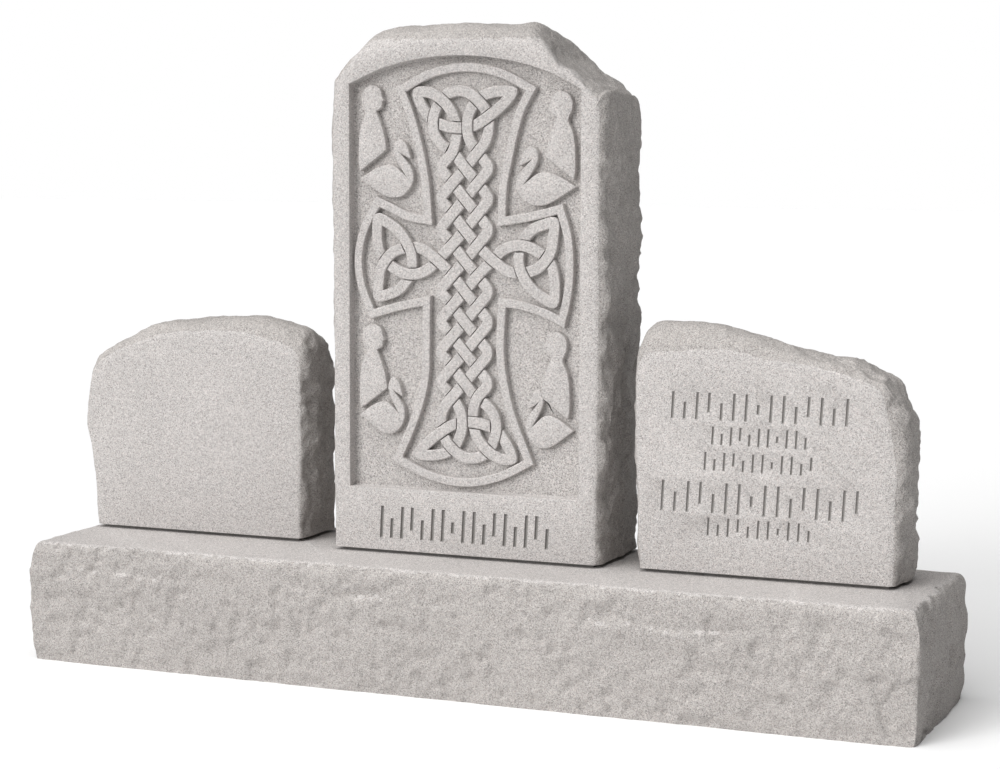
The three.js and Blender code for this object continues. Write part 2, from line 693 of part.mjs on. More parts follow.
function rightTablet() {
  const face = RIGHT_LEDGE - BASE_DEPTH / 2;
  const body = toSolid(upright({
    width: RIGHT_WIDTH,
    height: RIGHT_HEIGHT,
    depth: RIGHT_DEPTH,
    x: rightX,
    ledge: RIGHT_LEDGE,
    stations: RIGHT_OUTLINE,
    seed: 3.1,
  }));
  const row = (across, bottom, height, half, width, count) => ({
    left: rightX + (across - half) * RIGHT_WIDTH,
    right: rightX + (across + half) * RIGHT_WIDTH,
    bottom: seat + bottom * RIGHT_HEIGHT,
    height: height * RIGHT_HEIGHT,
    width,
    count,
  });
  const rows = [
    row(-0.036, 0.625, 0.105, 0.335, LARGE_STROKE, 15),
    row(-0.033, 0.527, 0.07, 0.18, SMALL_STROKE, 11),
    row(-0.036, 0.425, 0.07, 0.205, SMALL_STROKE, 12),
    row(-0.033, 0.255, 0.12, 0.375, LARGE_STROKE, 16),
    row(-0.031, 0.165, 0.07, 0.195, SMALL_STROKE, 11),
  ];
  return toGeometry(cutStrokes(body, rows, face));
}

// Scene
const granite = (tone) => new THREE.MeshStandardMaterial({ color: tone, roughness: 0.9, metalness: 0 });

function piece(name, geometry, tone) {
  const bare = new THREE.BufferGeometry();
  bare.setAttribute('position', geometry.attributes.position);
  if (geometry.index) bare.setIndex(geometry.index);
  const merged = mergeVertices(bare, 1e-4);
  merged.computeVertexNormals();
  const mesh = new THREE.Mesh(merged, granite(tone));
  mesh.name = name;
  return mesh;
}

const headstone = new THREE.Group();
headstone.add(
  piece('base', pitchedBase(), 0xc9c6c1),
  piece('centre_stone', centreStone(), 0xc4c1bc),
  piece('left_tablet', leftTablet(), 0xc6c3be),
  piece('right_tablet', rightTablet(), 0xc3c0bb),
);

export default headstone;
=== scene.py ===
# Celtic cross headstone: a rock-pitched base, a centre stone with a knotwork cross in a sunk
# panel, and two side tablets. Shapes are worked out in millimetres and end in metres.

import cmath
import math

import bmesh
import bpy
from bpy.props import FloatProperty, FloatVectorProperty, PointerProperty
from mathutils import Matrix, Vector, noise


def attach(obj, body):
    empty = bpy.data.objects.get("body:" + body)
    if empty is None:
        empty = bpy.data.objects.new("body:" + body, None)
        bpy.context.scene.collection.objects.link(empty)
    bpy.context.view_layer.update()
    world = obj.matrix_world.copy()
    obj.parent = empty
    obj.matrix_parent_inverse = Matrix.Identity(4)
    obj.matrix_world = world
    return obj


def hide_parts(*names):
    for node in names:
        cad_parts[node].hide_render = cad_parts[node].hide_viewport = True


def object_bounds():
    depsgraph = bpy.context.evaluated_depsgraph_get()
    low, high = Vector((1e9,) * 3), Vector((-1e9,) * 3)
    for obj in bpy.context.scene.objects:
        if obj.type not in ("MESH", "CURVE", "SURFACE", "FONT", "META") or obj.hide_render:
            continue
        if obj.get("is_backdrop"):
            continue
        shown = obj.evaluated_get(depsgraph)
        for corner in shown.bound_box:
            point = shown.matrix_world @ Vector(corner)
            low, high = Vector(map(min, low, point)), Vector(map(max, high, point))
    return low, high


bl_info = {
    "name": "Celtic Cross Headstone",
    "version": (1, 0, 0),
    "blender": (4, 5, 0),
    "location": "3D View > Sidebar > Headstone",
    "description": "Carves a granite memorial: base, knotwork centre stone and side tablets",
    "category": "Object",
}

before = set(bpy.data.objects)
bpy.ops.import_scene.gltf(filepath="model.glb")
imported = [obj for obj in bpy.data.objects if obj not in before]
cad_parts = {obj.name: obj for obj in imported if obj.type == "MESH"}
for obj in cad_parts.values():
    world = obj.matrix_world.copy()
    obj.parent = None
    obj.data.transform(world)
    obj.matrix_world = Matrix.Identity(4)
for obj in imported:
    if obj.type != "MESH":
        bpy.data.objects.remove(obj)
CAD_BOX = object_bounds()


# Sizes and colours

def size(name, millimetres, words):
    return FloatProperty(
        name=name, description=words, default=millimetres / 1000, min=0, unit="LENGTH", precision=4,
    )


def place(name, millimetres, words):
    return FloatProperty(
        name=name, description=words, default=millimetres / 1000, unit="LENGTH", precision=4,
    )


def tone(name, colour, words):
    return FloatVectorProperty(
        name=name, description=words, default=colour, size=3, min=0, max=1, subtype="COLOR",
    )


def turn(name, degrees, words):
    return FloatProperty(name=name, description=words, default=math.radians(degrees), subtype="ANGLE")


class BaseSizes(bpy.types.PropertyGroup):
    length: size("Length", 1524, "Nominal length of the base")
    depth: size("Depth", 355.6, "Nominal depth of the base")
    height: size("Height", 203.2, "Height of the base")
    stand: size("Stand", 5, "How far the rough sides stand out past the nominal lines")
    arris_back: size("Arris Back", 15, "How far the worn upper edge leans back")
    arris_drop: size("Arris Drop", 26, "How far down the worn upper edge begins")
    setting_gap: size("Setting Gap", 0.3, "Bed between the base and each stone")


class CentreSizes(bpy.types.PropertyGroup):
    width: size("Width", 467, "Width of the centre stone")
    height: size("Height", 868, "Height of the centre stone")
    depth: size("Depth", 193, "Depth of the centre stone")
    middle: place("Middle", -18.6, "Middle of the centre stone along the base")
    ledge: size("Ledge", 139.5, "Front of the base to the face of the stone")


class LeftTabletSizes(bpy.types.PropertyGroup):
    width: size("Width", 412, "Width of the left tablet")
    height: size("Height", 381, "Height of the left tablet")
    depth: size("Depth", 130, "Depth of the left tablet")
    middle: place("Middle", -542, "Middle of the left tablet along the base")
    ledge: size("Ledge", 179.3, "Front of the base to the face of the tablet")


class RightTabletSizes(bpy.types.PropertyGroup):
    width: size("Width", 420, "Width of the right tablet")
    height: size("Height", 396, "Height of the right tablet")
    depth: size("Depth", 130, "Depth of the right tablet")
    middle: place("Middle", 487, "Middle of the right tablet along the base")
    ledge: size("Ledge", 148.7, "Front of the base to the face of the tablet")


class CarvingSizes(bpy.types.PropertyGroup):
    name_band: size("Name Band", 108.5, "Face left standing below the sunk panel")
    panel_shift: place("Panel Shift", -2.4, "Panel centre from the middle of the stone")
    sinking: size("Sinking", 20, "Depth of the panel floor")
    relief: size("Relief", 12, "Height of the carving above that floor")
    strand: size("Strand", 18, "Width of the knotwork strands")
    strand_gap: size("Strand Gap", 1.7, "Groove beside a strand that passes over")
    strand_dip: size("Strand Dip", 1.5, "How far a strand drops where it passes under")
    band: size("Band", 14, "Width of the band that frames the cross")
    stroke_depth: size("Stroke Depth", 3.2, "Depth of the cut strokes")


class GraniteLook(bpy.types.PropertyGroup):
    steeled: tone("Steeled", (0.455, 0.434, 0.422), "Granite of the flat faces")
    pitched: tone("Pitched", (0.41, 0.388, 0.372), "Granite of the rough sides")
    blasted: tone("Blasted", (0.46, 0.438, 0.424), "Granite of the sunk panel floor")
    # The cut tone is the dark inside of the strokes, and is also painted shade in the raked joint under
    # each stone
    cut: tone("Cut", (0.24, 0.23, 0.22), "Granite inside the cut strokes")


class StageLook(bpy.types.PropertyGroup):
    floor: tone("Floor", (0.98, 0.98, 0.98), "Floor under the memorial")
    key: FloatProperty(name="Key", description="Strength of the light from the front left", default=2.18)
    top: FloatProperty(name="Top", description="Strength of the light from above", default=2.5)
    fill: FloatProperty(name="Fill", description="Strength of the light all round", default=0.078)
    lens: FloatProperty(
        name="Lens", description="Focal length on a 36 mm wide frame", default=83.22, unit="CAMERA",
    )
    camera_turn: turn("Camera Turn", 22.351, "Turn of the camera round the memorial")
    camera_tip: turn("Camera Tip", 5.827, "How far the camera looks down")
    camera_roll: turn("Camera Roll", 0.208, "Roll of the camera")


GROUPS_OF_SIZES = {
    "headstone_base": BaseSizes,
    "headstone_centre": CentreSizes,
    "headstone_left": LeftTabletSizes,
    "headstone_right": RightTabletSizes,
    "headstone_carving": CarvingSizes,
    "headstone_granite": GraniteLook,
    "headstone_stage": StageLook,
}


class Millimetres:
    """The sizes of a property group in millimetres."""

    def __init__(self, group):
        self.group = group

    def __getattr__(self, name):
        return getattr(self.group, name) * 1000


def sizes(name):
    return Millimetres(getattr(bpy.context.scene, "headstone_" + name))


# Outlines of the upright stones from the left foot over the top to the right foot.
# Each station is across and up on the flat face, then across and up at the fullest
# line of the rough side, as shares of half the width and of the height.
CENTRE_OUTLINE = [
    (-1, 0, -1.01, 0), (-1, 0.3, -1.025, 0.3), (-1.006, 0.62, -1.03, 0.64),
    (-1, 0.86, -1.04, 0.87), (-0.965, 0.896, -1, 0.915), (-0.86, 0.92, -0.885, 0.952),
    (-0.66, 0.94, -0.72, 0.99), (-0.36, 0.956, -0.4, 0.997), (0, 0.962, 0, 1),
    (0.34, 0.952, 0.24, 0.997), (0.59, 0.934, 0.45, 0.996), (0.77, 0.909, 0.62, 0.938),
    (0.9, 0.886, 0.8, 0.9), (0.975, 0.858, 0.95, 0.873), (1, 0.83, 1.02, 0.845),
    (1, 0.6, 1.035, 0.6), (1, 0.3, 1.03, 0.3), (1, 0, 1.01, 0),
]
LEFT_OUTLINE = [
    (-0.943, 0, -0.96, 0), (-0.966, 0.21, -0.98, 0.21), (-1.005, 0.38, -1.03, 0.4),
    (-1.055, 0.49, -1.06, 0.5), (-1.015, 0.65, -1.03, 0.68), (-0.94, 0.74, -1, 0.79),
    (-0.796, 0.79, -0.9, 0.836), (-0.53, 0.86, -0.68, 0.89), (-0.29, 0.893, -0.42, 0.95),
    (0.02, 0.914, -0.03, 0.972), (0.43, 0.914, 0.38, 0.994), (0.69, 0.885, 0.6, 0.99),
    (0.93, 0.84, 0.86, 0.962), (1, 0.775, 1.01, 0.9), (1.01, 0.6, 1.045, 0.66),
    (1.01, 0.3, 1.035, 0.3), (1.01, 0, 1.02, 0),
]
RIGHT_OUTLINE = [
    (-0.98, 0, -1, 0), (-0.995, 0.2, -1.03, 0.2), (-1.02, 0.46, -1.045, 0.48),
    (-1.03, 0.65, -1.045, 0.66), (-1.01, 0.79, -1.03, 0.9), (-0.92, 0.845, -0.94, 0.985),
    (-0.63, 0.86, -0.7, 1), (-0.32, 0.876, -0.4, 0.99), (0, 0.856, -0.05, 0.945),
    (0.32, 0.846, 0.25, 0.9), (0.66, 0.8, 0.56, 0.87), (0.84, 0.76, 0.8, 0.815),
    (0.885, 0.66, 0.965, 0.725), (0.93, 0.47, 1.045, 0.63), (0.945, 0.28, 1.05, 0.42),
    (0.955, 0.1, 1.02, 0.13), (0.96, 0, 0.985, 0),
]


# Small sums

PARALLEL = 1e-9
TOUCH = 1e-6


def mix(start, end, share):
    return start + (end - start) * share


def eased(low, high, value):
    """A share that rises smoothly from 0 at low to 1 at high."""
    share = min(1, max(0, (value - low) / (high - low)))
    return share * share * (3 - 2 * share)


def unit(run):
    return run / abs(run)


def dot(a, b):
    return (a.conjugate() * b).real


def wedge(a, b):
    """Above 0 where b turns left of a."""
    return (a.conjugate() * b).imag


def length_of(line):
    return sum(abs(b - a) for a, b in zip(line, line[1:]))


def even_steps(line, count):
    """The piece of the line, and the share of that piece, where each even step falls."""
    total = length_of(line)
    gone, i = 0, 0
    for k in range(1, count):
        want = total * k / count
        while gone + abs(line[i + 1] - line[i]) < want:
            gone += abs(line[i + 1] - line[i])
            i += 1
        yield i, (want - gone) / abs(line[i + 1] - line[i])


def spread(line, count):
    """The line as count + 1 points at even steps."""
    inner = [mix(line[i], line[i + 1], share) for i, share in even_steps(line, count)]
    return [line[0], *inner, line[-1]]


def bent(p1, p2, into, out, count):
    """Points of the smooth piece that sets off from p1 one way and comes to p2 another."""
    line = []
    for k in range(count):
        share = k / count
        line.append(
            (2 * p1 - 2 * p2 + into + out) * share ** 3
            + (3 * p2 - 3 * p1 - 2 * into - out) * share ** 2
            + into * share
            + p1
        )
    return line


def through(points, per_span):
    """A smooth line through points."""
    ends = [points[0], *points, points[-1]]
    line = []
    for p0, p1, p2, p3 in zip(ends, ends[1:], ends[2:], ends[3:]):
        line += bent(p1, p2, (p2 - p0) / 2, (p3 - p1) / 2, per_span)
    return line + [points[-1]]


def flowing(points, per_span):
    """A smooth line through points at uneven steps, for the knot."""
    ends = [2 * points[0] - points[1], *points, 2 * points[-1] - points[-2]]
    line = []
    for p0, p1, p2, p3 in zip(ends, ends[1:], ends[2:], ends[3:]):
        d0, d1, d2 = (math.sqrt(abs(b - a)) for a, b in ((p0, p1), (p1, p2), (p2, p3)))
        into = ((p1 - p0) / d0 - (p2 - p0) / (d0 + d1) + (p2 - p1) / d1) * d1
        out = ((p2 - p1) / d1 - (p3 - p1) / (d1 + d2) + (p3 - p2) / d2) * d1
        line += bent(p1, p2, into, out, per_span)
    return line + [points[-1]]


def beside(line, offset):
    """A line at an offset to the left of an open line."""
    last = len(line) - 1
    return [
        at + 1j * unit(line[min(last, i + 1)] - line[max(0, i - 1)]) * offset
        for i, at in enumerate(line)
    ]


def crossing(a, b, c, d):
    """Where a straight piece a-b crosses c-d, as shares along each."""
    r, s = b - a, d - c
    area = wedge(r, s)
    if abs(area) < PARALLEL:
        return None
    along, other = wedge(c - a, s) / area, wedge(c - a, r) / area
    inside = all(-TOUCH < share < 1 + TOUCH for share in (along, other))
    return (along, other) if inside else None


def meeting(before, after):
    """Where the end of one line meets the start of the next."""
    for i in range(len(before) - 2, -1, -1):
        for j in range(len(after) - 1):
            hit = crossing(before[i], before[i + 1], after[j], after[j + 1])
            if hit:
                return i, j, mix(before[i], before[i + 1], hit[0])
    raise RuntimeError("two lines of a corner do not meet")


# Rough stone

# The noise starts from the clock unless it is given a number to start from
CHIP_SEED = 4
noise.seed_set(CHIP_SEED)

# Share of a hollow's width at which it meets the next one, and of its depth that stands proud
RIM = 0.72
PROUD = 0.45


def rolls(along, across, seed):
    """Slow rolls along a side and across it."""
    long = math.sin(along / 61 + seed) * math.sin(across / 47 + 2 * seed)
    short = math.sin(along / 23 + 3 * seed) * math.cos(across / 29 + seed)
    return 2.6 * long + 1.6 * short


def swell(share):
    """How far a rough side has swelled at a share of the way from face to back."""
    return max(0, math.sin(math.pi * share ** 0.75)) ** 0.7


def dishes(at, seed, across, deep):
    """Hollows that the pitching tool leaves: low in the middle, sharp where two meet."""
    spot = (at + Vector((seed * 311, seed * 173, seed * 89))) / across
    spot += 0.3 * noise.noise_vector(spot * 1.9)
    near = noise.voronoi(spot)[0][0]
    return deep * (min(1, near / RIM) ** 2 - PROUD)


def grit(at, seed, across, high):
    """Small even roughness."""
    spot = (at + Vector((seed * 71, seed * 37, seed * 151))) / across
    return high * noise.noise(spot)


# Building with bmesh

MOST_POINTS = 100000


def swept(bm, rings, closed, welded):
    """Extrudes the first ring of points through all the others. A welded sweep comes back to
    its first ring."""
    verts = [bm.verts.new(at) for at in rings[0]]
    edges = [bm.edges.new(pair) for pair in zip(verts, verts[1:])]
    if closed:
        edges.append(bm.edges.new((verts[-1], verts[0])))
    first, made_verts = list(edges), list(verts)
    for ring in rings[1:] + ([rings[0]] if welded else []):
        made = bmesh.ops.extrude_edge_only(bm, edges=edges)["geom"]
        fresh = {item for item in made if isinstance(item, bmesh.types.BMVert)}
        follow = {}
        for vert in verts:
            follow[vert] = next(
                edge.other_vert(vert) for edge in vert.link_edges if edge.other_vert(vert) in fresh
            )
        pairs = [tuple(follow[vert] for vert in edge.verts) for edge in edges]
        edges = [bm.edges.get(pair) for pair in pairs]
        verts = [follow[vert] for vert in verts]
        for vert, at in zip(verts, ring):
            vert.co = at
        made_verts += verts
    if welded:
        bmesh.ops.remove_doubles(bm, verts=made_verts, dist=0.001)
    return first, edges


def capped(bm, *loops):
    """Closes open ends with flat faces."""
    for edges in loops:
        bmesh.ops.contextual_create(bm, geom=edges)


def closed_shell(bm, name):
    """Turns every face outwards, and stops if a shell is open."""
    bmesh.ops.recalc_face_normals(bm, faces=bm.faces)
    open_edges = sum(not edge.is_manifold for edge in bm.edges)
    if open_edges:
        raise RuntimeError(f"{name} has {open_edges} open edges")


def place_in_line(part):
    """A number of its own for each edge or face, from its first three points."""
    place = 0
    for index in sorted(vert.index for vert in part.verts)[:3]:
        place = place * MOST_POINTS + index
    return place


def put_in_order(bm):
    """Brings edges and faces into an order that is the same each run."""
    bm.verts.index_update()
    bm.edges.sort(key=place_in_line)
    bm.faces.sort(key=place_in_line)


def to_object(bm, name):
    """Hands the shape over as an object, in metres."""
    put_in_order(bm)
    bmesh.ops.scale(bm, vec=(0.001, 0.001, 0.001), verts=bm.verts)
    mesh = bpy.data.meshes.new(name)
    bm.to_mesh(mesh)
    bm.free()
    obj = bpy.data.objects.new(name, mesh)
    bpy.context.scene.collection.objects.link(obj)
    return obj


def combined(obj, operation, tool):
    """Joins a tool shape to an object or cuts it away, and removes the tool."""
    change = obj.modifiers.new(operation, "BOOLEAN")
    change.operation = operation
    change.solver = "MANIFOLD"
    change.object = tool
    graph = bpy.context.evaluated_depsgraph_get()
    mesh = bpy.data.meshes.new_from_object(obj.evaluated_get(graph))
    obj.modifiers.clear()
    was, obj.data = obj.data, mesh
    bpy.data.meshes.remove(was)
    mesh.name = obj.name
    bpy.data.objects.remove(tool)
    if not mesh.polygons:
        raise RuntimeError(f"nothing is left of {obj.name}")


# Uprights

# Cuts just behind the face, repeated before the back, and the step of the cuts between
NEAR_CUTS = (0, 1, 2.5, 4.8, 8, 11.8, 16)
SIDE_STEP = 4.2
PER_STATION = 10

# How far in the worn arris reaches round a stone, and at its broken right shoulder
ARRIS_DEEP = 16
SHOULDER_DEEP = 36

# Joint raked out under the foot: its height, and how far in and out it goes
JOINT_HIGH = 5.5
JOINT_BACK = 15
JOINT_OUT = 20

# Shares of the height: where the rough top starts and is full, and how high the calm foot is
TOP_START = 0.74
TOP_FULL = 0.12
FOOT_HIGH = 0.06

# Marks of the pitched sides: kind, seed, width and depth
SIDE_MARKS = (
    (dishes, 0, 58, 8), (dishes, 5, 27, 5), (grit, 0, 16, 2.4), (grit, 0, 8, 1.2),
)
CALM_LEFT = 0.55
CALM_TOP = 0.65


def depth_cuts(depth):
    """Depths of the cuts through a stone from its face to its back."""
    inner = depth - 2 * NEAR_CUTS[-1]
    steps = round(inner / SIDE_STEP)
    middle = [NEAR_CUTS[-1] + inner * k / steps for k in range(1, steps)]
    return [*NEAR_CUTS, *middle, *(depth - cut for cut in reversed(NEAR_CUTS))]


def outline_of(stone, stations):
    """Even points of the flat outline and of the fullest line, as seen from the front."""
    half, height = stone.width / 2, stone.height
    flat = through([complex(s[0] * half, s[1] * height) for s in stations], PER_STATION)
    full = through([complex(s[2] * half, s[3] * height) for s in stations], PER_STATION)
    inner = [
        (mix(flat[i], flat[i + 1], share), mix(full[i], full[i + 1], share))
        for i, share in even_steps(full, round(length_of(full) / SIDE_STEP))
    ]
    return [(flat[0], full[0]), *inner, (flat[-1], full[-1])]


def ragged(travelled, seed, top):
    """How far the edge of the flat face wanders, more along the top."""
    along = Vector((travelled, 0, seed * 50))
    return grit(along, seed, 34, 1.4 + 2.4 * top) + grit(along, seed, 12, 0.8 + 0.6 * top)


def worn_back(inset, lean, top, arrises):
    """How far the arris is worn back at a depth, where the side leans left, up or right."""
    left, over, right = arrises
    shoulder = top * eased(0.15, 0.5, lean) * eased(1, 0.9, lean)
    reach = mix(ARRIS_DEEP, SHOULDER_DEEP, shoulder)
    if inset >= reach:
        return 0
    worn = mix(over, right if lean > 0 else left, abs(lean))
    return worn * (1 - math.sqrt(1 - (1 - inset / reach) ** 2))


def upright(name, stone, stations, arrises, seed, seat, base_depth):
    """Upright stone with a flat face and back and rock-pitched sides, standing on its foot.
    Its arrises are worn back at the left, at the top and at the right."""
    pairs = outline_of(stone, stations)
    half, height, depth = stone.width / 2, stone.height, stone.depth
    face = stone.ledge - base_depth / 2
    last = len(pairs) - 1
    outward = [
        1j * unit(pairs[min(last, i + 3)][1] - pairs[max(0, i - 3)][1]) for i in range(len(pairs))
    ]
    travelled = [0]
    for (a, _), (b, _) in zip(pairs, pairs[1:]):
        travelled.append(travelled[-1] + abs(b - a))

    def at(i, inward):
        flat, full = pairs[i]
        up = flat.imag / height
        top = min(1, max(0, (up - TOP_START) / TOP_FULL))
        foot = min(1, up / FOOT_HIGH)
        edge = flat + outward[i] * ragged(travelled[i], seed, top) * foot
        bulge = swell(inward / depth)
        rough = bulge * rolls(travelled[i], inward, seed)
        spot = mix(edge, full, bulge)
        spot += math.copysign(1, flat.real) * rough * (1 - top) * max(foot, 0.3)
        spot += 0.6j * (rough - 2) * top
        inset = min(inward, depth - inward)
        lean = outward[i].real
        spot -= outward[i] * worn_back(inset, lean, top, arrises)
        solid = Vector((spot.real, inward, spot.imag))
        chipped = sum(mark(solid, seed + more, across, deep) for mark, more, across, deep in SIDE_MARKS)
        chipped *= 1 - CALM_LEFT * eased(0, 0.8, -lean)
        reach = inset + abs(spot - edge) * 0.6
        push = outward[i] * chipped * (1 - CALM_TOP * top)
        spot += push * eased(1, 15, reach) * eased(-8, 14, spot.imag)
        return Vector((stone.middle + spot.real, face + inward, seat + max(0, spot.imag)))

    bm = bmesh.new()
    rings = [[at(i, cut) for i in range(len(pairs))] for cut in depth_cuts(depth)]
    capped(bm, *swept(bm, rings, True, False))
    closed_shell(bm, name)
    obj = to_object(bm, name)
    feet = [stone.middle + share * half for share in (stations[0][2], stations[-1][2])]
    combined(obj, "DIFFERENCE", joint_shape(feet, face, face + depth, seat))
    return obj


def joint_shape(feet, front, back, seat):
    """The space of the joint raked out round the foot of a stone."""
    left, right = feet

    def loop(out, up):
        corners = (
            (left - out, front - out), (right + out, front - out),
            (right + out, back + out), (left - out, back + out),
        )
        return [Vector((x, y, up)) for x, y in corners]

    low, high = seat - 1, seat + JOINT_HIGH
    bm = bmesh.new()
    rings = [loop(-JOINT_BACK, low), loop(JOINT_OUT, low), loop(JOINT_OUT, high), loop(-JOINT_BACK, high)]
    swept(bm, rings, True, True)
    closed_shell(bm, "joint")
    return to_object(bm, "joint")


# Base

# Shares of the height, and how far a side is set back at each, as shares of its stand
BASE_CUTS = (0, 0.14, 0.36, 0.6, 0.84, 1)
BASE_SET_BACK = (1, 0.5, 0, 0, 0.5, 1)
BASE_CORNER = 5
BASE_STEP = 4.1
BASE_ARC_CUTS = 8

# Marks of the pitched sides: kind, seed, widths and depths, on the front and on the ends
BASE_MARKS = (
    (dishes, 2, (74, 88), (4.6, 13)), (dishes, 7, (34, 42), (4.8, 7)),
    (grit, 1, (23, 23), (6.5, 6.5)), (grit, 4, (11, 11), (4.6, 4.6)),
)

# Lumps are worked down to this share of what stands prouder than the limit
PROUDEST = 1
WORKED_DOWN = 0.3

# Thin ledges of the front: how high they lie and how far they stand out
LEDGE_UP = 150
LEDGE_OUT = 4.2

# The flake missing at the lower right front corner: half its size each way, height and depth
FLAKE = (62, 50, 56)
FLAKE_UP = 52
FLAKE_DEEP = 5


def base_loop(length, depth):
    """Points round the base and the way each faces, from the front left corner."""
    loop = []
    corners = [
        (complex(-length, -depth) / 2, 1), (complex(length, -depth) / 2, 1j),
        (complex(length, depth) / 2, -1), (complex(-length, depth) / 2, -1j),
    ]
    for k, (corner, run) in enumerate(corners):
        far = corners[(k + 1) % 4][0]
        out = -1j * run
        start, end = corner + run * BASE_CORNER, far - run * BASE_CORNER
        steps = round(abs(end - start) / BASE_STEP)
        loop += [(mix(start, end, i / steps), out) for i in range(steps + 1)]
        centre = end - out * BASE_CORNER
        for i in (1, 2, 3):
            facing = out * cmath.exp(1j * math.pi / 8 * i)
            loop.append((centre + facing * BASE_CORNER, facing))
    return loop


def ledges(along, up):
    """Thin ledges where the pitched front broke in steps: proud below the line."""
    wave = 9 * noise.noise(Vector((along / 70, 3, 0))) + 4 * noise.noise(Vector((along / 21, 7, 0)))
    there = eased(-0.25, 0.1, noise.noise(Vector((along / 240, 11, 5))))
    line = LEDGE_UP - along * 0.012 + wave
    return LEDGE_OUT * there * (1 - eased(line - 1, line + 2, up)) * eased(line - 50, line - 8, up)


def from_corner(point, base):
    """Distance round the sides of the base to its nearest upright corner."""
    return base.length / 2 - abs(point.real) + base.depth / 2 - abs(point.imag)


def nibbled(point, here, base):
    """Scallops knocked off the upright corners."""
    deep = max(0, 1 - dishes(here, 9, 44, 6)) * (1 - eased(3, 26, from_corner(point, base)))
    return -complex(math.copysign(0.8, point.real), math.copysign(0.5, point.imag)) * deep


def broken_corner(point, up, base):
    """The flake that broke from the lower front corner at the right."""
    across, back, high = FLAKE
    off = Vector((
        (base.length / 2 - point.real) / across,
        (base.depth / 2 + point.imag) / back,
        (up - FLAKE_UP) / high,
    ))
    wander = 0.2 * noise.noise(Vector((point.real, point.imag, up)) / 26)
    return (1j - 0.5) * FLAKE_DEEP * eased(0, 0.16, 1 + wander - off.length)


def set_back(up, base):
    """How far a side of the base is set back at a height."""
    share = up / base.height
    k = next(k for k in range(len(BASE_CUTS) - 1) if share <= BASE_CUTS[k + 1])
    part = (share - BASE_CUTS[k]) / (BASE_CUTS[k + 1] - BASE_CUTS[k])
    return mix(BASE_SET_BACK[k], BASE_SET_BACK[k + 1], eased(0, 1, part)) * base.stand


def fitted(bm, axis, wanted):
    """Centres a shape along an axis and brings it to a size."""
    low = min(vert.co[axis] for vert in bm.verts)
    high = max(vert.co[axis] for vert in bm.verts)
    shift, grow = Vector((0, 0, 0)), Vector((1, 1, 1))
    shift[axis] = -(low + high) / 2
    grow[axis] = wanted / (high - low)
    bmesh.ops.translate(bm, vec=shift, verts=bm.verts)
    bmesh.ops.scale(bm, vec=grow, verts=bm.verts)


def pitched_base(name, base):
    """Base with a flat top and underside and four rock-pitched sides, dressed to size."""
    height = base.height
    loop = base_loop(base.length, base.depth)
    arc = [math.pi / 2 * k / BASE_ARC_CUTS for k in range(BASE_ARC_CUTS + 1)]
    shoulder = height - base.arris_drop
    steps = round(shoulder / BASE_STEP)
    cuts = [(shoulder * k / steps, None) for k in range(steps)] + [(shoulder, angle) for angle in arc]

    def at(point, out, up, angle):
        here = Vector((point.real, point.imag, up))
        worn = 1 + 0.45 * noise.noise(here / 45) + 0.25 * noise.noise(here / 17)
        back = set_back(up, base)
        rise = up
        keep = 1
        if angle is not None:
            back += base.arris_back * worn * (1 - math.cos(angle))
            rise = height - base.arris_drop * (1 - math.sin(angle))
            keep = math.cos(angle) ** 0.6 if angle < math.pi / 2 else 0
            here.z = rise
        rough = rolls(point.real + 3 * point.imag, rise, 0.7) * min(1, rise / height + 0.3)
        on_end = abs(out.real)
        chipped = sum(
            mark(here, seed, mix(*across, on_end), mix(*deep, on_end))
            for mark, seed, across, deep in BASE_MARKS
        )
        chipped *= mix(0.4, 1, eased(4, 48, from_corner(point, base)))
        moved = complex(point.real * (1 - 2 * back / base.length), point.imag * (1 - 2 * back / base.depth))
        lump = rough + chipped * eased(0, 10, rise + 3)
        moved += out * (lump if lump < PROUDEST else mix(PROUDEST, lump, WORKED_DOWN)) * keep
        moved += (nibbled(point, here, base) + broken_corner(point, rise, base)) * keep
        if out.imag < -0.9:
            moved += out * ledges(point.real, rise) * keep
        return Vector((moved.real, moved.imag, rise))

    bm = bmesh.new()
    rings = [[at(point, out, up, angle) for point, out in loop] for up, angle in cuts]
    capped(bm, *swept(bm, rings, True, False))
    fitted(bm, 0, base.length + 2 * base.stand)
    fitted(bm, 1, base.depth + 2 * base.stand)
    closed_shell(bm, name)
    return to_object(bm, name)


# The knot: a plait of four strands down the shaft, a loop in each arm and a knot at each end.
# Panel lines are points across and up from the middle of the cross.

PITCH = 49.6  # from one row of crossings up to the next
ACROSS = 22  # from the middle line to the crossings beside it
EDGE = 44  # from the middle line to the turns at the edge
EDGE_ROUND = 9.4  # radius of those turns
LEAD = 3  # straight run into and out of a turn
TURN_CUTS = 5
CORNER_REACH = 5  # how far a pointed corner runs past the meeting of its lines
CORNER_CUTS = 6
PLAIT_MIDDLE = -0.7
ROWS = 8
ARM_ROW = 5
PER_SPAN = 8
STRAND_STEP = 2.2
DIP_RUN = 7  # length over which a strand dips under the next
NEAREST = 18  # strands further apart than this don't cross
OVER_REACH = 10  # points taken each way of the strand that passes over

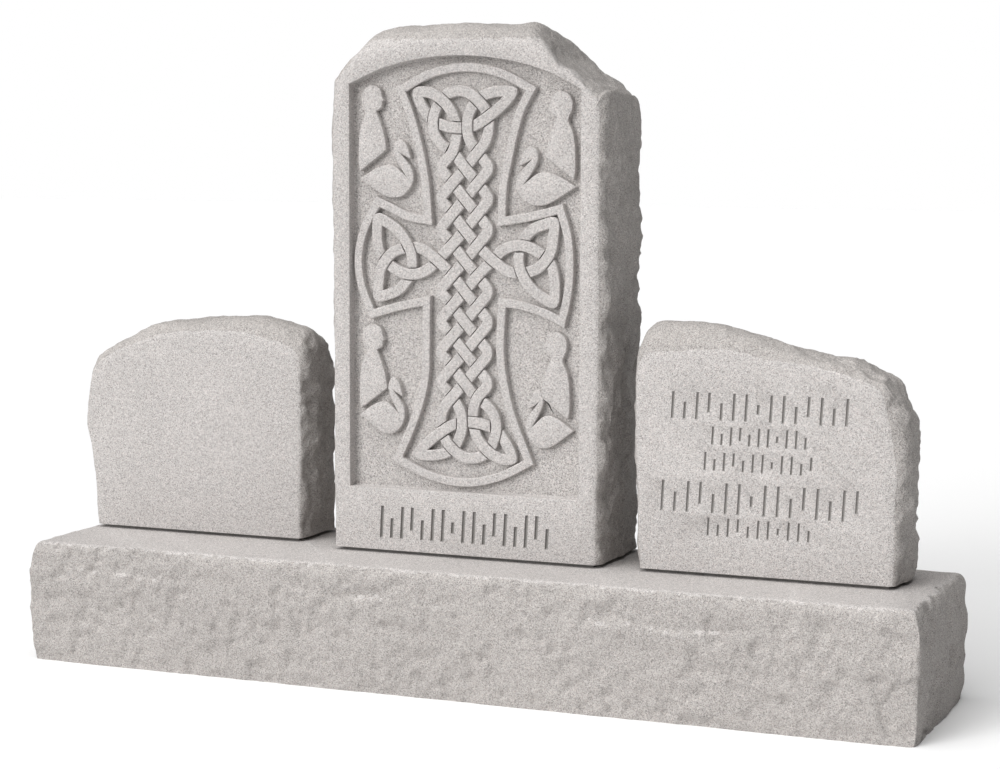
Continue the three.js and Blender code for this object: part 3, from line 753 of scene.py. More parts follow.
# The long loop and the round one of the knot at the top. Half a turn gives those at the foot.
TOP_LONG = [
    (-16, 19.1), (-15, 40.1), (-24, 65.1), (-42, 85.1), (-62, 95.6), (-87, 97.6, "corner"),
    (-75, 73.1), (-55, 50.1), (-35, 42.1), (-15, 39.1), (5, 40.1), (23, 46.1), (42, 58.1),
    (64, 75.1), (86, 97.6, "corner"), (50, 96.1), (33, 91.1), (20, 83.1), (11, 70.1),
    (5, 55.1), (4, 40.1), (7, 22.1),
]
TOP_ROUND = [
    (-40, 11.1), (-54, 30.1), (-56, 51.1), (-50, 71.1), (-40, 87.1), (-24, 96.1), (-6, 98.1),
    (9, 93.1), (21, 84.1), (33, 71.1), (40, 57.1), (41, 35.1), (35, 16.1),
]
LEFT_ARM = [
    (-48.5, -1), (-66, -17), (-85, -24.4), (-104, -24.5), (-122, -18), (-140, -6),
    (-150, 7), (-155, 24), (-156, 42), (-155.5, 68, "corner"), (-138, 58.5), (-124, 50),
    (-111, 38), (-101.7, 24), (-95.7, 11), (-93.3, -4), (-96, -20), (-102.4, -34),
    (-112, -46.5), (-124, -54.5), (-138, -59.4), (-156.2, -65.6, "corner"), (-152.5, -37),
    (-150, -20), (-142.5, -5.5), (-129, 9), (-113, 16), (-98.5, 18), (-84, 18.6),
    (-70, 14), (-59, 6.5), (-48.5, -1),
]


def turned(points, up):
    """Points turned half round and set at a height."""
    return [(-u, up - w, *kind) for u, w, *kind in points]


def raised(points, up):
    """Points set at a height."""
    return [(u, up + w, *kind) for u, w, *kind in points]


def row_up(row):
    """Height of a row of crossings."""
    return PLAIT_MIDDLE + (row - (ROWS + 1) / 2) * PITCH


def plait_run(side, slant):
    """A run of the plait from the top crossings to the bottom ones."""
    run = []
    for row in range(ROWS, 0, -1):
        run.append((side * ACROSS, row_up(row)))
        middle = row_up(row) - PITCH / 2
        if side == slant:
            if row == ARM_ROW:
                run += LEFT_ARM if side < 0 else turned(LEFT_ARM, 0)[::-1]
            else:
                run.append((side * EDGE, middle, "turn"))
            slant = -slant
        else:
            run.append((0, middle))
            side = -side
    return run + [(side * ACROSS, row_up(0))]


def with_turns(points):
    """Rounds the turns at the edge of the plait, and marks the corners."""
    laid = []
    for i, (u, w, *kind) in enumerate(points):
        at = complex(u, w)
        if kind != ["turn"]:
            laid.append((at, kind == ["corner"]))
            continue
        back = unit(complex(*points[i - 1][:2]) - at)
        on = unit(complex(*points[i + 1][:2]) - at)
        half = math.acos(dot(back, on)) / 2
        reach = EDGE_ROUND / math.tan(half)
        centre = at + unit(back + on) * EDGE_ROUND / math.sin(half)
        start = at + back * reach
        sweep = -math.copysign(math.pi - 2 * half, wedge(back, on))
        arc = [
            centre + (start - centre) * cmath.exp(1j * sweep * k / TURN_CUTS)
            for k in range(TURN_CUTS + 1)
        ]
        bend = [at + back * (reach + LEAD), *arc, at + on * (reach + LEAD)]
        laid += [(spot, False) for spot in bend]
    return laid


def strand_line(points):
    """A closed strand as fine points, with the places of its corners."""
    laid = with_turns(points)
    first = next(i for i, (_, corner) in enumerate(laid) if corner)
    order = laid[first:] + laid[:first + 1]
    line, corners, leg = [], set(), [order[0][0]]
    for at, corner in order[1:]:
        leg.append(at)
        if corner:
            corners.add(len(line))
            line += flowing(leg, PER_SPAN)[:-1]
            leg = [at]
    return line, corners


def find_crossings(lines):
    """Each place where strands cross, with the line and the place on it for both strands."""
    found = []
    for a, first in enumerate(lines):
        for i, here in enumerate(first):
            following = first[(i + 1) % len(first)]
            for b in range(a, len(lines)):
                second = lines[b]
                start = i + 3 if a == b else 0
                stop = len(second) - (3 if a == b and i < 3 else 0)
                for j in range(start, stop):
                    if abs(second[j] - here) > NEAREST:
                        continue
                    hit = crossing(here, following, second[j], second[(j + 1) % len(second)])
                    if not hit:
                        continue
                    at = mix(here, following, hit[0])
                    if all(abs(spot[0] - at) >= 1 for spot in found):
                        found.append((at, (a, i + hit[0]), (b, j + hit[1])))
    return found


def stretch(line, start, end):
    """Part of a closed line between two places on it, and which of its points it takes."""
    count = len(line)
    if end <= start:
        end += count

    def at(spot):
        i = math.floor(spot)
        return mix(line[i % count], line[(i + 1) % count], spot - i)

    inner = [i % count for i in range(math.floor(start) + 1, math.ceil(end))]
    return [at(start), *(line[i] for i in inner), at(end)], inner


def shortened(line, less):
    """The line less a length at its end."""
    points = list(line)
    while len(points) > 2 and abs(points[-1] - points[-2]) <= less:
        less -= abs(points[-1] - points[-2])
        points.pop()
    end = points.pop()
    return points + [mix(end, points[-1], min(0.98, less / abs(end - points[-1])))]


def edge_line(centre, corner, offset, half_width):
    """A line along a strand at an offset, pointed where the strand turns a corner, and the
    place of that point."""
    if corner is None:
        return beside(centre, offset), None
    at = centre[corner]
    back, on = unit(centre[corner - 1] - at), unit(centre[corner + 1] - at)
    half = math.acos(dot(back, on)) / 2
    far = 8 * half_width
    before = beside(centre[:corner + 1] + [at - back * far], offset)
    after = beside([at - on * far] + centre[corner:], offset)
    i, j, meet = meeting(before, after)
    outward = math.copysign(1, wedge(back, on)) * offset
    full = 2 * (half_width / math.sin(half) - CORNER_REACH) / math.cos(half)
    trim = full * (outward + half_width) / (2 * half_width)
    head = shortened(before[:i + 1] + [meet], trim)
    tail = shortened((after[j + 1:])[::-1] + [meet], trim)[::-1]
    bend = []
    for k in range(1, CORNER_CUTS):
        t = k / CORNER_CUTS
        bend.append((1 - t) ** 2 * head[-1] + 2 * t * (1 - t) * meet + t ** 2 * tail[0])
    return head + bend + tail, len(head) + len(bend) // 2


def distance_to(point, line):
    """How far a point is from a line."""
    nearest = math.inf
    for a, b in zip(line, line[1:]):
        run = b - a
        share = min(1, max(0, dot(run, point - a) / dot(run, run)))
        nearest = min(nearest, abs(point - a - run * share))
    return nearest


def clear_of(line, over, clearance):
    """Cuts the start of a line back until it is clear of the strand that passes over it."""
    first = next(i for i, point in enumerate(line) if distance_to(point, over) >= clearance)
    inside, outside = distance_to(line[first - 1], over), distance_to(line[first], over)
    share = (clearance - inside) / (outside - inside)
    return [mix(line[first - 1], line[first], share)] + line[first:], first - 1


def visits_of(index, crossings):
    """The crossings along a line in order: the place on it, the other strand and the point."""
    visits = []
    for at, one, two in crossings:
        for here, other in ((one, two), (two, one)):
            if here[0] == index:
                visits.append((here[1], other, at))
    return sorted(visits, key=lambda visit: visit[0])


def strand_courses():
    """The centre line of each strand piece with its corner, and the two strands that it
    passes under at its ends. Each piece passes over one crossing."""
    high, low = row_up(ROWS), row_up(0)
    runs = [
        raised(TOP_LONG, high) + plait_run(1, 1) + turned(TOP_ROUND, low) + plait_run(-1, -1)[::-1],
        raised(TOP_ROUND, high) + plait_run(1, -1) + turned(TOP_LONG, low) + plait_run(-1, 1)[::-1],
    ]
    lines, corners = zip(*(strand_line(run) for run in runs))
    crossings = find_crossings(lines)
    courses = []
    for index, line in enumerate(lines):
        visits = visits_of(index, crossings)
        start = complex(-ACROSS, high)
        first_over = next(i for i, visit in enumerate(visits) if abs(visit[2] - start) < 3)
        unders = [visit for i, visit in enumerate(visits) if i % 2 != (first_over + index) % 2]
        for i, (here, other, _) in enumerate(unders):
            end, end_other, _ = unders[(i + 1) % len(unders)]
            centre, taken = stretch(line, here, end)
            corner = next((k + 1 for k, j in enumerate(taken) if j in corners[index]), None)
            overs = []
            for which, spot in (other, end_other):
                count = len(lines[which])
                reach = (spot - OVER_REACH) % count, (spot + OVER_REACH) % count
                overs.append(stretch(lines[which], *reach)[0])
            courses.append((centre, corner, overs))
    return courses


# Carving on the panel

KEYED = 2  # how far carving runs on into the floor
MITRE_RUN = 14  # how far a side runs on to meet the next
BAND_STEP = 5
OUTLINE_STEP = 2
PANEL_STEP = 9


def arris_profile(width, high, sunk):
    """Half of a flat band with softened edges: how far off its middle, and how high."""
    half = width / 2
    return [
        (half, -sunk), (half, high - 1.8), (half - 0.2, high - 1), (half - 0.75, high - 0.35),
        (half - 1.6, high - 0.03), (half - 2.6, high),
    ]


def both_sides(profile):
    """The profile with its other half."""
    return profile + [(-off, high) for off, high in reversed(profile)]


def strand_rings(course, profile, carving):
    """Lines along one strand piece, one for each point of its profile."""
    centre, corner, overs = course
    half = carving.strand / 2
    clearance = half + carving.strand_gap
    counts = None
    rings = []
    for offset, high in [(0, 0)] + profile:
        line, bend = edge_line(centre, corner, offset, half)
        line, cut = clear_of(line, overs[0], clearance)
        bend = None if bend is None else bend - cut
        line = clear_of(line[::-1], overs[1], clearance)[0][::-1]
        parts = [line] if bend is None else [line[:bend + 1], line[bend:]]
        if counts is None:
            counts = [max(4, round(length_of(part) / STRAND_STEP)) for part in parts]
            continue
        points = spread(parts[0], counts[0])
        for part, count in zip(parts[1:], counts[1:]):
            points += spread(part, count)[1:]
        total = length_of(points)
        gone, ring = 0, []
        for i, point in enumerate(points):
            gone += abs(point - points[i - 1]) if i else 0
            end = min(gone, total - gone)
            dip = carving.strand_dip * (1 - eased(0, DIP_RUN, end)) if high > 0 else 0
            ring.append((point, high - dip))
        rings.append(ring)
    return rings


def cornered(sides, offset, counts):
    """A closed line of smooth sides, moved outwards by an offset and mitred at the corners."""
    moved = []
    for side in sides:
        first, last = unit(side[0] - side[1]), unit(side[-1] - side[-2])
        longer = [side[0] + first * MITRE_RUN, *side, side[-1] + last * MITRE_RUN]
        moved.append(beside(longer, offset))
    meets = [meeting(moved[k - 1], moved[k]) for k in range(len(moved))]
    line = []
    for k, side in enumerate(moved):
        _, start, first = meets[k]
        stop, _, last = meets[(k + 1) % len(moved)]
        line += spread([first, *side[start + 1:stop + 1], last], counts[k])[:-1]
    return line


def prepared(sides, step):
    """Smooth sides and how many steps each takes."""
    fine = [through([complex(*point) for point in side], 8) for side in sides]
    return fine, [max(1, round(length_of(side) / step)) for side in fine]


def area_of(line):
    return sum(wedge(a, b) for a, b in zip(line, line[1:] + line[:1])) / 2


def shape_rings(sides, steps, step):
    """Rings of an outline for pairs of offset and height, whichever way it was drawn."""
    fine, counts = prepared(sides, step)
    outwards = -math.copysign(1, area_of(cornered(fine, 0, counts)))
    return [[(point, high) for point in cornered(fine, outwards * off, counts)] for off, high in steps]


BAND_SIDES = [
    [(-113, 273), (-60, 299), (0, 308.5), (60, 299), (114, 273)],
    [(114, 273), (96, 240), (84, 200), (75, 160), (67, 120), (64, 63)],
    [(64, 63), (95, 68), (130, 75), (164, 84)],
    [(164, 84), (177, 42), (181, -4), (178, -50), (168, -95)],
    [(168, -95), (139, -82), (100, -71), (66, -67)],
    [(66, -67), (62.5, -142), (69, -196), (83, -250), (113, -323)],
    [(113, -323), (60, -350), (0, -362.5), (-62, -354), (-119, -330)],
    [(-119, -330), (-86, -255), (-70, -196), (-68, -142), (-67, -68)],
    [(-67, -68), (-116, -78), (-165, -92)],
    [(-165, -92), (-184, -47), (-190, 0), (-179, 48), (-154, 92)],
    [(-154, 92), (-130, 82), (-102, 69.5), (-64, 63)],
    [(-64, 63), (-69, 120), (-76, 160), (-86, 200), (-99, 240), (-113, 273)],
]

# Robed figure looking across the panel, and the swan at its feet, as drawn at the upper left
FIGURE = [
    [(-186, 141.5), (-189, 158), (-188, 196), (-184, 217), (-176.5, 235), (-182, 249), (-183.5, 263),
     (-177, 275.5), (-165, 281), (-153.5, 277.5), (-148, 270), (-146.5, 262.5), (-143, 256.5)],
    [(-143, 256.5), (-146.5, 254.3), (-146.3, 250), (-148, 245), (-152.5, 241.7), (-157, 239)],
    [(-157, 239), (-152, 228), (-146, 212), (-141, 194), (-138.6, 176.5)],
    [(-138.6, 176.5), (-186, 141.5)],
]
SWAN = [
    [(-96, -1), (-84, 7), (-66, 17), (-48, 22), (-33, 19), (-14, 4)],
    [(-14, 4), (-26, 22), (-34, 37), (-36, 49), (-31, 60), (-22, 63), (-13, 55), (-8, 43), (-5, 32)],
    [(-5, 32), (-13, 35), (-24, 41)],
    [(-24, 41), (-12, 28), (-3, 16), (0, 0), (-6, -15), (-20, -28), (-38, -31), (-54, -27),
     (-76, -14), (-96, -1)],
]
SWAN_LENGTH = 96

# Places of the four groups: side of the cross, figure shift, swan breast, tail and height
GROUPS = [
    (1, (0, 0), -90, -186, 130),
    (-1, (-1, -11), -89, -191, 120),
    (1, (1, -390), -105.5, -187, -258),
    (-1, (6, -392), -108, -189, -268),
]

# The sunk panel from the lower left corner, with its arched head
PANEL_HALF = 201.7
PANEL_FOOT = -378
PANEL_SIDES = [
    [(-PANEL_HALF, PANEL_FOOT), (PANEL_HALF, PANEL_FOOT)],
    [(PANEL_HALF, PANEL_FOOT), (PANEL_HALF, 272)],
    [(PANEL_HALF, 272), (145, 300), (75, 319), (-6, 327), (-85, 321), (-150, 305), (-PANEL_HALF, 283)],
    [(-PANEL_HALF, 283), (-PANEL_HALF, PANEL_FOOT)],
]


class Panel:
    """Turns panel lines into places on the centre stone."""

    def __init__(self, centre, carving, seat, base_depth):
        self.face = centre.ledge - base_depth / 2
        self.floor = self.face + carving.sinking
        self.middle = centre.middle + carving.panel_shift
        self.foot = seat + carving.name_band - PANEL_FOOT

    def at(self, point, high):
        return Vector((self.middle + point.real, self.floor - high, self.foot + point.imag))

    def ring(self, ring):
        return [self.at(point, high) for point, high in ring]


def carved_shape(panel, carving):
    """The band, strands, figures and swans as closed shells that run on into the floor."""
    bm = bmesh.new()
    profile = both_sides(arris_profile(carving.strand, carving.relief, KEYED))
    for course in strand_courses():
        rings = [panel.ring(ring) for ring in strand_rings(course, profile, carving)]
        swept(bm, rings, False, True)
    put_in_order(bm)
    open_edges = [edge for edge in bm.edges if edge.is_boundary]
    bmesh.ops.holes_fill(bm, edges=open_edges, sides=0)
    band = both_sides(arris_profile(carving.band, carving.relief, KEYED))
    swept(bm, [panel.ring(ring) for ring in shape_rings(BAND_SIDES, band, BAND_STEP)], True, True)
    high = carving.relief
    edge = [(0, -KEYED), (0, high - 1.9), (-0.25, high - 1), (-0.8, high - 0.35), (-1.6, high)]
    for side, (u0, w0), breast, tail, up in GROUPS:
        scale = (breast - tail) / SWAN_LENGTH
        robed = [[(side * (u + u0), w + w0) for u, w in run] for run in FIGURE]
        swan = [[(side * (breast + u * scale), up + w) for u, w in run] for run in SWAN]
        for outline in (robed, swan):
            rings = [panel.ring(ring) for ring in shape_rings(outline, edge, OUTLINE_STEP)]
            capped(bm, *swept(bm, rings, True, False))
    closed_shell(bm, "carving")
    return to_object(bm, "carving")


def sunk_shape(panel, carving):
    """The space of the sunk panel, a little wider at the mouth."""
    deep = carving.sinking
    steps = [
        (1.1, deep + 4), (1.1, deep), (0.5, deep - 0.25), (0.15, deep - 0.8), (0, deep - 1.6),
        (0, 2.2), (-0.4, 0.9), (-1.2, 0.25), (-2.4, 0),
    ]
    bm = bmesh.new()
    rings = [panel.ring(ring) for ring in shape_rings(PANEL_SIDES, steps, PANEL_STEP)]
    capped(bm, *swept(bm, rings, True, False))
    closed_shell(bm, "sinking")
    return to_object(bm, "sinking")


# Cut strokes

NAME_STROKE = 4.6
LARGE_STROKE = 3.4
SMALL_STROKE = 2.6
STROKE_LEAN = 0.05  # share of its height
NAME_REACH = (-0.315, 0.321)  # ends of the name row, as shares of the width of the stone
NAME_COUNT = 17
TABLET_STROKE = 0.8  # depth of the tablet's strokes, as a share of the name row's


def stroke_row(left, right, bottom, height, width, count):
    """A row of cut strokes, tall and short by turns."""
    pace = (right - left - width) / (count - 1)
    row = []
    for i in range(count):
        low = 0.28 if i % 4 == 3 else 0
        high = 0.62 if i % 3 == 1 else 1
        lean = STROKE_LEAN * height * (high - low)
        u = left + i * pace
        row.append([
            complex(u, bottom + low * height), complex(u + width, bottom + low * height),
            complex(u + width + lean, bottom + high * height), complex(u + lean, bottom + high * height),
        ])
    return row


def strokes_shape(rows, face, deep):
    """Rows of strokes as closed shells that start in front of the face."""
    bm = bmesh.new()
    for corners in (corners for row in rows for corners in stroke_row(*row)):
        sides = [[a, b] for a, b in zip(corners, corners[1:] + corners[:1])]
        rings = []
        for offset, inward in ((0.6, -3), (0.6, 0), (0.1, 0.5), (-0.5, deep - 0.4), (-0.9, deep)):
            line = cornered(sides, -offset, [1, 1, 1, 1])
            rings.append([Vector((point.real, face + inward, point.imag)) for point in line])
        capped(bm, *swept(bm, rings, True, False))
    closed_shell(bm, "strokes")
    return to_object(bm, "strokes")


def name_rows(panel, width, seat, band):
    """The one row on the band below the panel."""
    left, right = (panel.middle + share * width for share in NAME_REACH)
    return [(left, right, seat + band * 0.24, band * 0.48, NAME_STROKE, NAME_COUNT)]


def tablet_rows(tablet, seat):
    """The five rows of the right tablet, from the top down."""
    def row(across, bottom, height, half, width, count):
        middle = tablet.middle + across * tablet.width
        reach = half * tablet.width
        low = seat + bottom * tablet.height
        return (middle - reach, middle + reach, low, height * tablet.height, width, count)

    return [
        row(-0.036, 0.625, 0.105, 0.335, LARGE_STROKE, 15),
        row(-0.033, 0.527, 0.07, 0.18, SMALL_STROKE, 11),
        row(-0.036, 0.425, 0.07, 0.205, SMALL_STROKE, 12),
        row(-0.033, 0.255, 0.12, 0.375, LARGE_STROKE, 16),
        row(-0.031, 0.165, 0.07, 0.195, SMALL_STROKE, 11),
    ]


# Granite

class Nodes:
    """Short names for adding and joining shader nodes."""

    def __init__(self, tree):
        self.tree = tree

    def add(self, kind, inputs=(), **settings):
        node = self.tree.nodes.new(kind)
        for name, value in settings.items():
            setattr(node, name, value)
        for name, value in dict(inputs).items():
            self.feed(node.inputs[name], value)
        return node

    def feed(self, socket, value):
        if isinstance(value, bpy.types.NodeSocket):
            self.tree.links.new(value, socket)
        else:
            socket.default_value = value

    def ramp(self, value, stops):
        node = self.add("ShaderNodeValToRGB", {"Fac": value})
        elements = node.color_ramp.elements
        while len(elements) < len(stops):
            elements.new(1)
        for element, (spot, shade) in zip(elements, stops):
            element.position = spot
            element.color = (shade, shade, shade, 1)
        return node.outputs["Color"]

    def mixed(self, kind, share, first, second):
        node = self.add("ShaderNodeMix", data_type="RGBA", blend_type=kind)
        for k, value in ((0, share), (6, first), (7, second)):
            self.feed(node.inputs[k], value)
        return node.outputs[2]


# Painted light: how much lighter the stone is painted where it faces up, standing in for light from above
UP_FACING_PAINTED_LIGHT = 1.18
# Crystals and grains to the metre
CRYSTALS = 760
GRAINS = 1300


def granite(name, colour, contrast, grain_bump, chip_bump, rough):
    """Pale speckled granite. Its grain, tone, roughness and bump all follow Object coordinates,
    and what faces up is painted lighter, as painted light from above."""
    material = bpy.data.materials.new(name)
    material.use_nodes = True
    nodes = Nodes(material.node_tree)
    shader = material.node_tree.nodes["Principled BSDF"]
    spot = nodes.add("ShaderNodeTexCoord").outputs["Object"]

    def cells(scale):
        node = nodes.add("ShaderNodeTexVoronoi", {"Vector": spot, "Scale": scale})
        parts = nodes.add("ShaderNodeSeparateColor", {"Color": node.outputs["Color"]})
        return parts.outputs["Red"], parts.outputs["Green"]

    def cloud(scale, detail, roughness=0.55):
        node = nodes.add(
            "ShaderNodeTexNoise",
            {"Vector": spot, "Scale": scale, "Detail": detail, "Roughness": roughness},
        )
        return node.outputs["Fac"]

    crystals, blush = cells(CRYSTALS)
    grains, _ = cells(GRAINS)
    speckle = nodes.ramp(crystals, [
        (0, 1 - contrast), (0.3, 1 - contrast * 0.25), (0.75, 1 + contrast * 0.1),
        (1, 1 + contrast * 0.5),
    ])
    fine = nodes.ramp(grains, [(0, 1 - contrast * 0.7), (0.4, 1), (1, 1 + contrast * 0.4)])
    clouds = nodes.ramp(cloud(7, 4), [(0.3, 0.955), (0.7, 1.035)])
    base = (*colour, 1)
    warm = (colour[0] * 1.03, colour[1] * 0.965, colour[2] * 0.94, 1)
    tinted = nodes.mixed("MIX", nodes.ramp(blush, [(0.7, 0), (1, 0.8)]), base, warm)
    toned = nodes.mixed("MULTIPLY", 1, tinted, speckle)
    toned = nodes.mixed("MULTIPLY", 1, toned, fine)
    toned = nodes.mixed("MULTIPLY", 1, toned, clouds)
    facing = nodes.add("ShaderNodeNewGeometry").outputs["Normal"]
    upward = nodes.add("ShaderNodeSeparateXYZ", {"Vector": facing}).outputs["Z"]
    # Painted light: the colour is made lighter where the surface faces up, in place of light from above
    toned = nodes.mixed("MULTIPLY", 1, toned, nodes.ramp(upward, [(0.2, 1), (0.9, UP_FACING_PAINTED_LIGHT)]))
    nodes.tree.links.new(toned, shader.inputs["Base Color"])
    shine = nodes.add(
        "ShaderNodeMapRange",
        {"Value": crystals, "To Min": rough - 0.12, "To Max": min(1, rough + 0.06)},
    ).outputs["Result"]
    nodes.tree.links.new(shine, shader.inputs["Roughness"])
    shader.inputs["Specular IOR Level"].default_value = 0.35
    chips = nodes.add(
        "ShaderNodeBump", {"Height": cloud(150, 5, 0.62), "Strength": chip_bump, "Distance": 0.004},
    )
    grain = nodes.add(
        "ShaderNodeBump",
        {"Height": cloud(620, 3), "Strength": grain_bump, "Distance": 0.0012,
         "Normal": chips.outputs["Normal"]},
    )
    nodes.tree.links.new(grain.outputs["Normal"], shader.inputs["Normal"])
    return material


def granites():
    """The four finishes, made once: steeled, pitched, blasted and cut, the last also painted shade in
    the raked joints. Each has its colour, contrast, strength of grain and of chips, and roughness."""
    look = bpy.context.scene.headstone_granite
    kinds = {
        "granite_steeled": (look.steeled, 0.46, 0.35, 0.15, 0.82),
        "granite_pitched": (look.pitched, 0.46, 0.7, 0.9, 0.9),
        "granite_blasted": (look.blasted, 0.58, 0.8, 0.5, 0.94),
        "granite_cut_and_joint_shade": (look.cut, 0.2, 0.6, 0.2, 0.9),
    }
    made = []
    for name, values in kinds.items():
        made.append(bpy.data.materials.get(name) or granite(name, tuple(values[0]), *values[1:]))
    return made


# The cut finish is the dark inside of the strokes, and also painted shade in the raked joint under each
# stone
STEELED, PITCHED, BLASTED, CUT_AND_JOINT_SHADE = range(4)


# How near a face lies to the plane that it belongs to
SLACK = 0.02

# Arrises worn back at the left, at the top and at the right
CENTRE_ARRISES = (5, 3, 13)
TABLET_ARRISES = (5, 3, 9)


def seat_on(base):
    """Height of the foot of each stone."""
    return base.height + base.setting_gap


def dressed(obj, node, finish_of, sharp):
    """Gives each face its finish, then shades the stone and sets it in place of its solid."""
    mesh = obj.data
    mesh.materials.clear()
    for material in granites():
        mesh.materials.append(material)
    for polygon in mesh.polygons:
        polygon.material_index, polygon.use_smooth = finish_of(polygon.center * 1000, polygon.normal)
    mesh.set_sharp_from_angle(angle=math.radians(sharp))
    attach(obj, "root")
    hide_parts(node)


# Operators

class HEADSTONE_OT_base(bpy.types.Operator):
    """Pitches the long base"""

    bl_idname = "headstone.base"
    bl_label = "Base"

    def execute(self, context):
        base = sizes("base")
        obj = pitched_base("base_stone", base)

        def finish(at, normal):
            if normal.z > 0.9999:
                return STEELED, False
            return (STEELED if normal.z > 0.75 else PITCHED), normal.z > -0.9999

        dressed(obj, "base", finish, 60)
        return {"FINISHED"}


def face_finish(face, depth, seat):
    """Steeled on the flat face and back, pitched on the sides, and dark cut granite painted as shade in the
    raked joint at the foot.
    """
    def finish(at, normal):
        # Painted shade: the raked joint under the foot takes the dark cut granite so that the gap looks
        # shadowed
        if at.z < seat + JOINT_HIGH + SLACK:
            return CUT_AND_JOINT_SHADE, False
        if min(abs(at.y - face), abs(at.y - face - depth)) < SLACK:
            return STEELED, False
        if at.y < face + 2.5 and normal.y < -0.3:
            return STEELED, True
        return PITCHED, True
    return finish


class HEADSTONE_OT_centre_stone(bpy.types.Operator):
    """Carves the centre stone with the knotwork cross"""

    bl_idname = "headstone.centre_stone"
    bl_label = "Centre Stone"

    def execute(self, context):
        base, centre, carving = sizes("base"), sizes("centre"), sizes("carving")
        seat = seat_on(base)
        panel = Panel(centre, carving, seat, base.depth)
        obj = upright(
            "centre_stone_carved", centre, CENTRE_OUTLINE, CENTRE_ARRISES, 1.9, seat, base.depth,
        )
        combined(obj, "DIFFERENCE", sunk_shape(panel, carving))
        combined(obj, "UNION", carved_shape(panel, carving))
        rows = name_rows(panel, centre.width, seat, carving.name_band)
        deep = carving.stroke_depth
        combined(obj, "DIFFERENCE", strokes_shape(rows, panel.face, deep))
        face, floor = panel.face, panel.floor
        on_face = face_finish(face, centre.depth, seat)
        foot = seat + carving.name_band

        def finish(at, normal):
            if at.z < foot - 4 and face + 0.1 < at.y < face + deep + 0.1 and abs(at.x - panel.middle) < 160:
                return CUT_AND_JOINT_SHADE, False
            inside = at.z > foot - 2 and abs(at.x - panel.middle) < PANEL_HALF + 1 and at.y < floor + 0.1
            if inside and at.y > floor - 0.3:
                return BLASTED, abs(normal.y) < 0.9999
            if inside and at.y > face + 0.05 and at.z < seat + 840:
                return STEELED, abs(normal.y) < 0.9999
            return on_face(at, normal)

        dressed(obj, "centre_stone", finish, 42)
        return {"FINISHED"}


class HEADSTONE_OT_left_tablet(bpy.types.Operator):
    """Pitches the plain left tablet"""

    bl_idname = "headstone.left_tablet"
    bl_label = "Left Tablet"

    def execute(self, context):
        base, tablet = sizes("base"), sizes("left")
        seat = seat_on(base)
        obj = upright(
            "left_tablet_stone", tablet, LEFT_OUTLINE, TABLET_ARRISES, 0.4, seat, base.depth,
        )
        finish = face_finish(tablet.ledge - base.depth / 2, tablet.depth, seat)
        dressed(obj, "left_tablet", finish, 60)
        return {"FINISHED"}


class HEADSTONE_OT_right_tablet(bpy.types.Operator):
    """Pitches the right tablet and cuts its rows of strokes"""

    bl_idname = "headstone.right_tablet"
    bl_label = "Right Tablet"

    def execute(self, context):
        base, tablet, carving = sizes("base"), sizes("right"), sizes("carving")
        seat = seat_on(base)
        face = tablet.ledge - base.depth / 2
        obj = upright(
            "right_tablet_stone", tablet, RIGHT_OUTLINE, TABLET_ARRISES, 3.1, seat, base.depth,
        )
        deep = carving.stroke_depth * TABLET_STROKE
        combined(obj, "DIFFERENCE", strokes_shape(tablet_rows(tablet, seat), face, deep))
        on_face = face_finish(face, tablet.depth, seat)
        low, high = seat + 0.15 * tablet.height, seat + 0.74 * tablet.height

        def finish(at, normal):
            inside = low < at.z < high and abs(at.x - tablet.middle + 14) < 165
            if inside and face + 0.1 < at.y < face + deep + 0.1:
                return CUT_AND_JOINT_SHADE, False
            return on_face(at, normal)

        dressed(obj, "right_tablet", finish, 60)
        return {"FINISHED"}


# Softness of each light, its turn to the side and its height, in degrees
KEY_FROM = (32, -25, 19)
TOP_FROM = (70, -12, 66)
# Half the floor, and the place of the camera, in metres
FLOOR_HALF = 30
EYE = (1.45084, -3.45657, 0.86916)


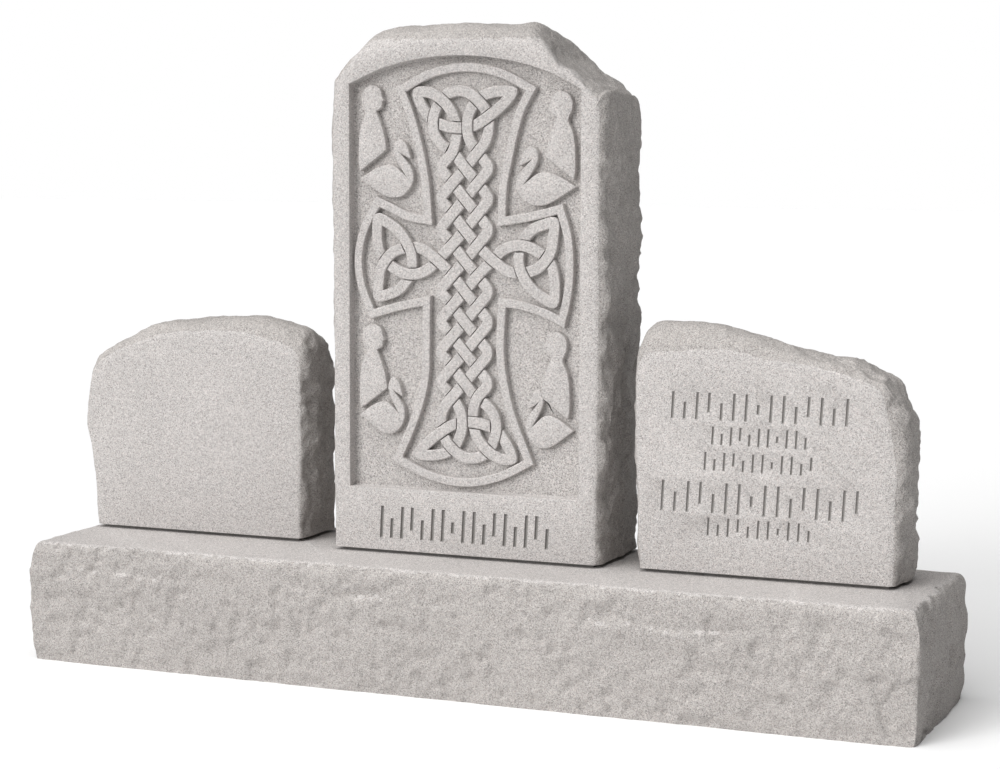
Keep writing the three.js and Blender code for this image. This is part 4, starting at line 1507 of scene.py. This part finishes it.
class HEADSTONE_OT_stage(bpy.types.Operator):
    """Sets the floor, the lights and the camera"""

    bl_idname = "headstone.stage"
    bl_label = "Stage"

    def execute(self, context):
        scene = context.scene
        look = scene.headstone_stage
        bm = bmesh.new()
        bmesh.ops.create_grid(bm, x_segments=2, y_segments=2, size=FLOOR_HALF)
        mesh = bpy.data.meshes.new("floor")
        bm.to_mesh(mesh)
        bm.free()
        floor = bpy.data.objects.new("floor", mesh)
        scene.collection.objects.link(floor)
        material = bpy.data.materials.new("floor_paint")
        material.use_nodes = True
        shader = material.node_tree.nodes["Principled BSDF"]
        shader.inputs["Base Color"].default_value = (*look.floor, 1)
        shader.inputs["Roughness"].default_value = 1
        shader.inputs["Specular IOR Level"].default_value = 0
        mesh.materials.append(material)
        floor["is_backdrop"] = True

        for name, strength, softness, aside, up in (
            ("key_light", look.key, *KEY_FROM), ("top_light", look.top, *TOP_FROM),
        ):
            light = bpy.data.lights.new(name, "SUN")
            light.energy = strength
            light.angle = math.radians(softness)
            lamp = bpy.data.objects.new(name, light)
            swing = Matrix.Rotation(math.radians(aside), 4, "Z")
            lamp.matrix_world = swing @ Matrix.Rotation(math.radians(90 - up), 4, "X")
            scene.collection.objects.link(lamp)

        world = scene.world or bpy.data.worlds.new("world")
        scene.world = world
        world.use_nodes = True
        nodes = Nodes(world.node_tree)
        world.node_tree.nodes.clear()
        seen = nodes.add("ShaderNodeLightPath").outputs["Is Camera Ray"]
        strength = nodes.add("ShaderNodeMapRange", {"Value": seen, "To Min": look.fill, "To Max": 1.0})
        sky = nodes.add(
            "ShaderNodeBackground",
            {"Color": (1, 1, 1, 1), "Strength": strength.outputs["Result"]},
        )
        output = nodes.add("ShaderNodeOutputWorld")
        world.node_tree.links.new(sky.outputs["Background"], output.inputs["Surface"])

        camera = bpy.data.cameras.new("camera")
        camera.lens = look.lens
        camera.sensor_width = 36
        camera.clip_end = 200
        eye = bpy.data.objects.new("camera", camera)
        eye.matrix_world = (
            Matrix.Translation(EYE)
            @ Matrix.Rotation(look.camera_turn, 4, "Z")
            @ Matrix.Rotation(math.pi / 2 - look.camera_tip, 4, "X")
            @ Matrix.Rotation(look.camera_roll, 4, "Z")
        )
        scene.collection.objects.link(eye)
        scene.camera = eye
        scene.view_settings.view_transform = "Standard"
        return {"FINISHED"}


OPERATORS = (
    HEADSTONE_OT_base,
    HEADSTONE_OT_centre_stone,
    HEADSTONE_OT_left_tablet,
    HEADSTONE_OT_right_tablet,
    HEADSTONE_OT_stage,
)


class HEADSTONE_PT_sidebar(bpy.types.Panel):
    """Lists the steps and sizes of the headstone"""

    bl_idname = "HEADSTONE_PT_sidebar"
    bl_label = "Headstone"
    bl_space_type = "VIEW_3D"
    bl_region_type = "UI"
    bl_category = "Headstone"

    def draw(self, context):
        for operator in OPERATORS:
            self.layout.operator(operator.bl_idname, text=operator.bl_label)
        for name, group in GROUPS_OF_SIZES.items():
            box = self.layout.box()
            for part in group.__annotations__:
                box.prop(getattr(context.scene, name), part)


def register():
    for group in GROUPS_OF_SIZES.values():
        bpy.utils.register_class(group)
    for name, group in GROUPS_OF_SIZES.items():
        setattr(bpy.types.Scene, name, PointerProperty(type=group))
    for operator in OPERATORS:
        bpy.utils.register_class(operator)
    bpy.utils.register_class(HEADSTONE_PT_sidebar)


def unregister():
    bpy.utils.unregister_class(HEADSTONE_PT_sidebar)
    for operator in reversed(OPERATORS):
        bpy.utils.unregister_class(operator)
    for name in GROUPS_OF_SIZES:
        delattr(bpy.types.Scene, name)
    for group in reversed(GROUPS_OF_SIZES.values()):
        bpy.utils.unregister_class(group)


def main():
    register()
    bpy.ops.headstone.base()
    bpy.ops.headstone.centre_stone()
    bpy.ops.headstone.left_tablet()
    bpy.ops.headstone.right_tablet()
    bpy.ops.headstone.stage()
    boxes = {"cad": CAD_BOX, "visual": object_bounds()}
    lists = {name: [list(corner) for corner in box] for name, box in boxes.items()}


if __name__ == "__main__":
    main()
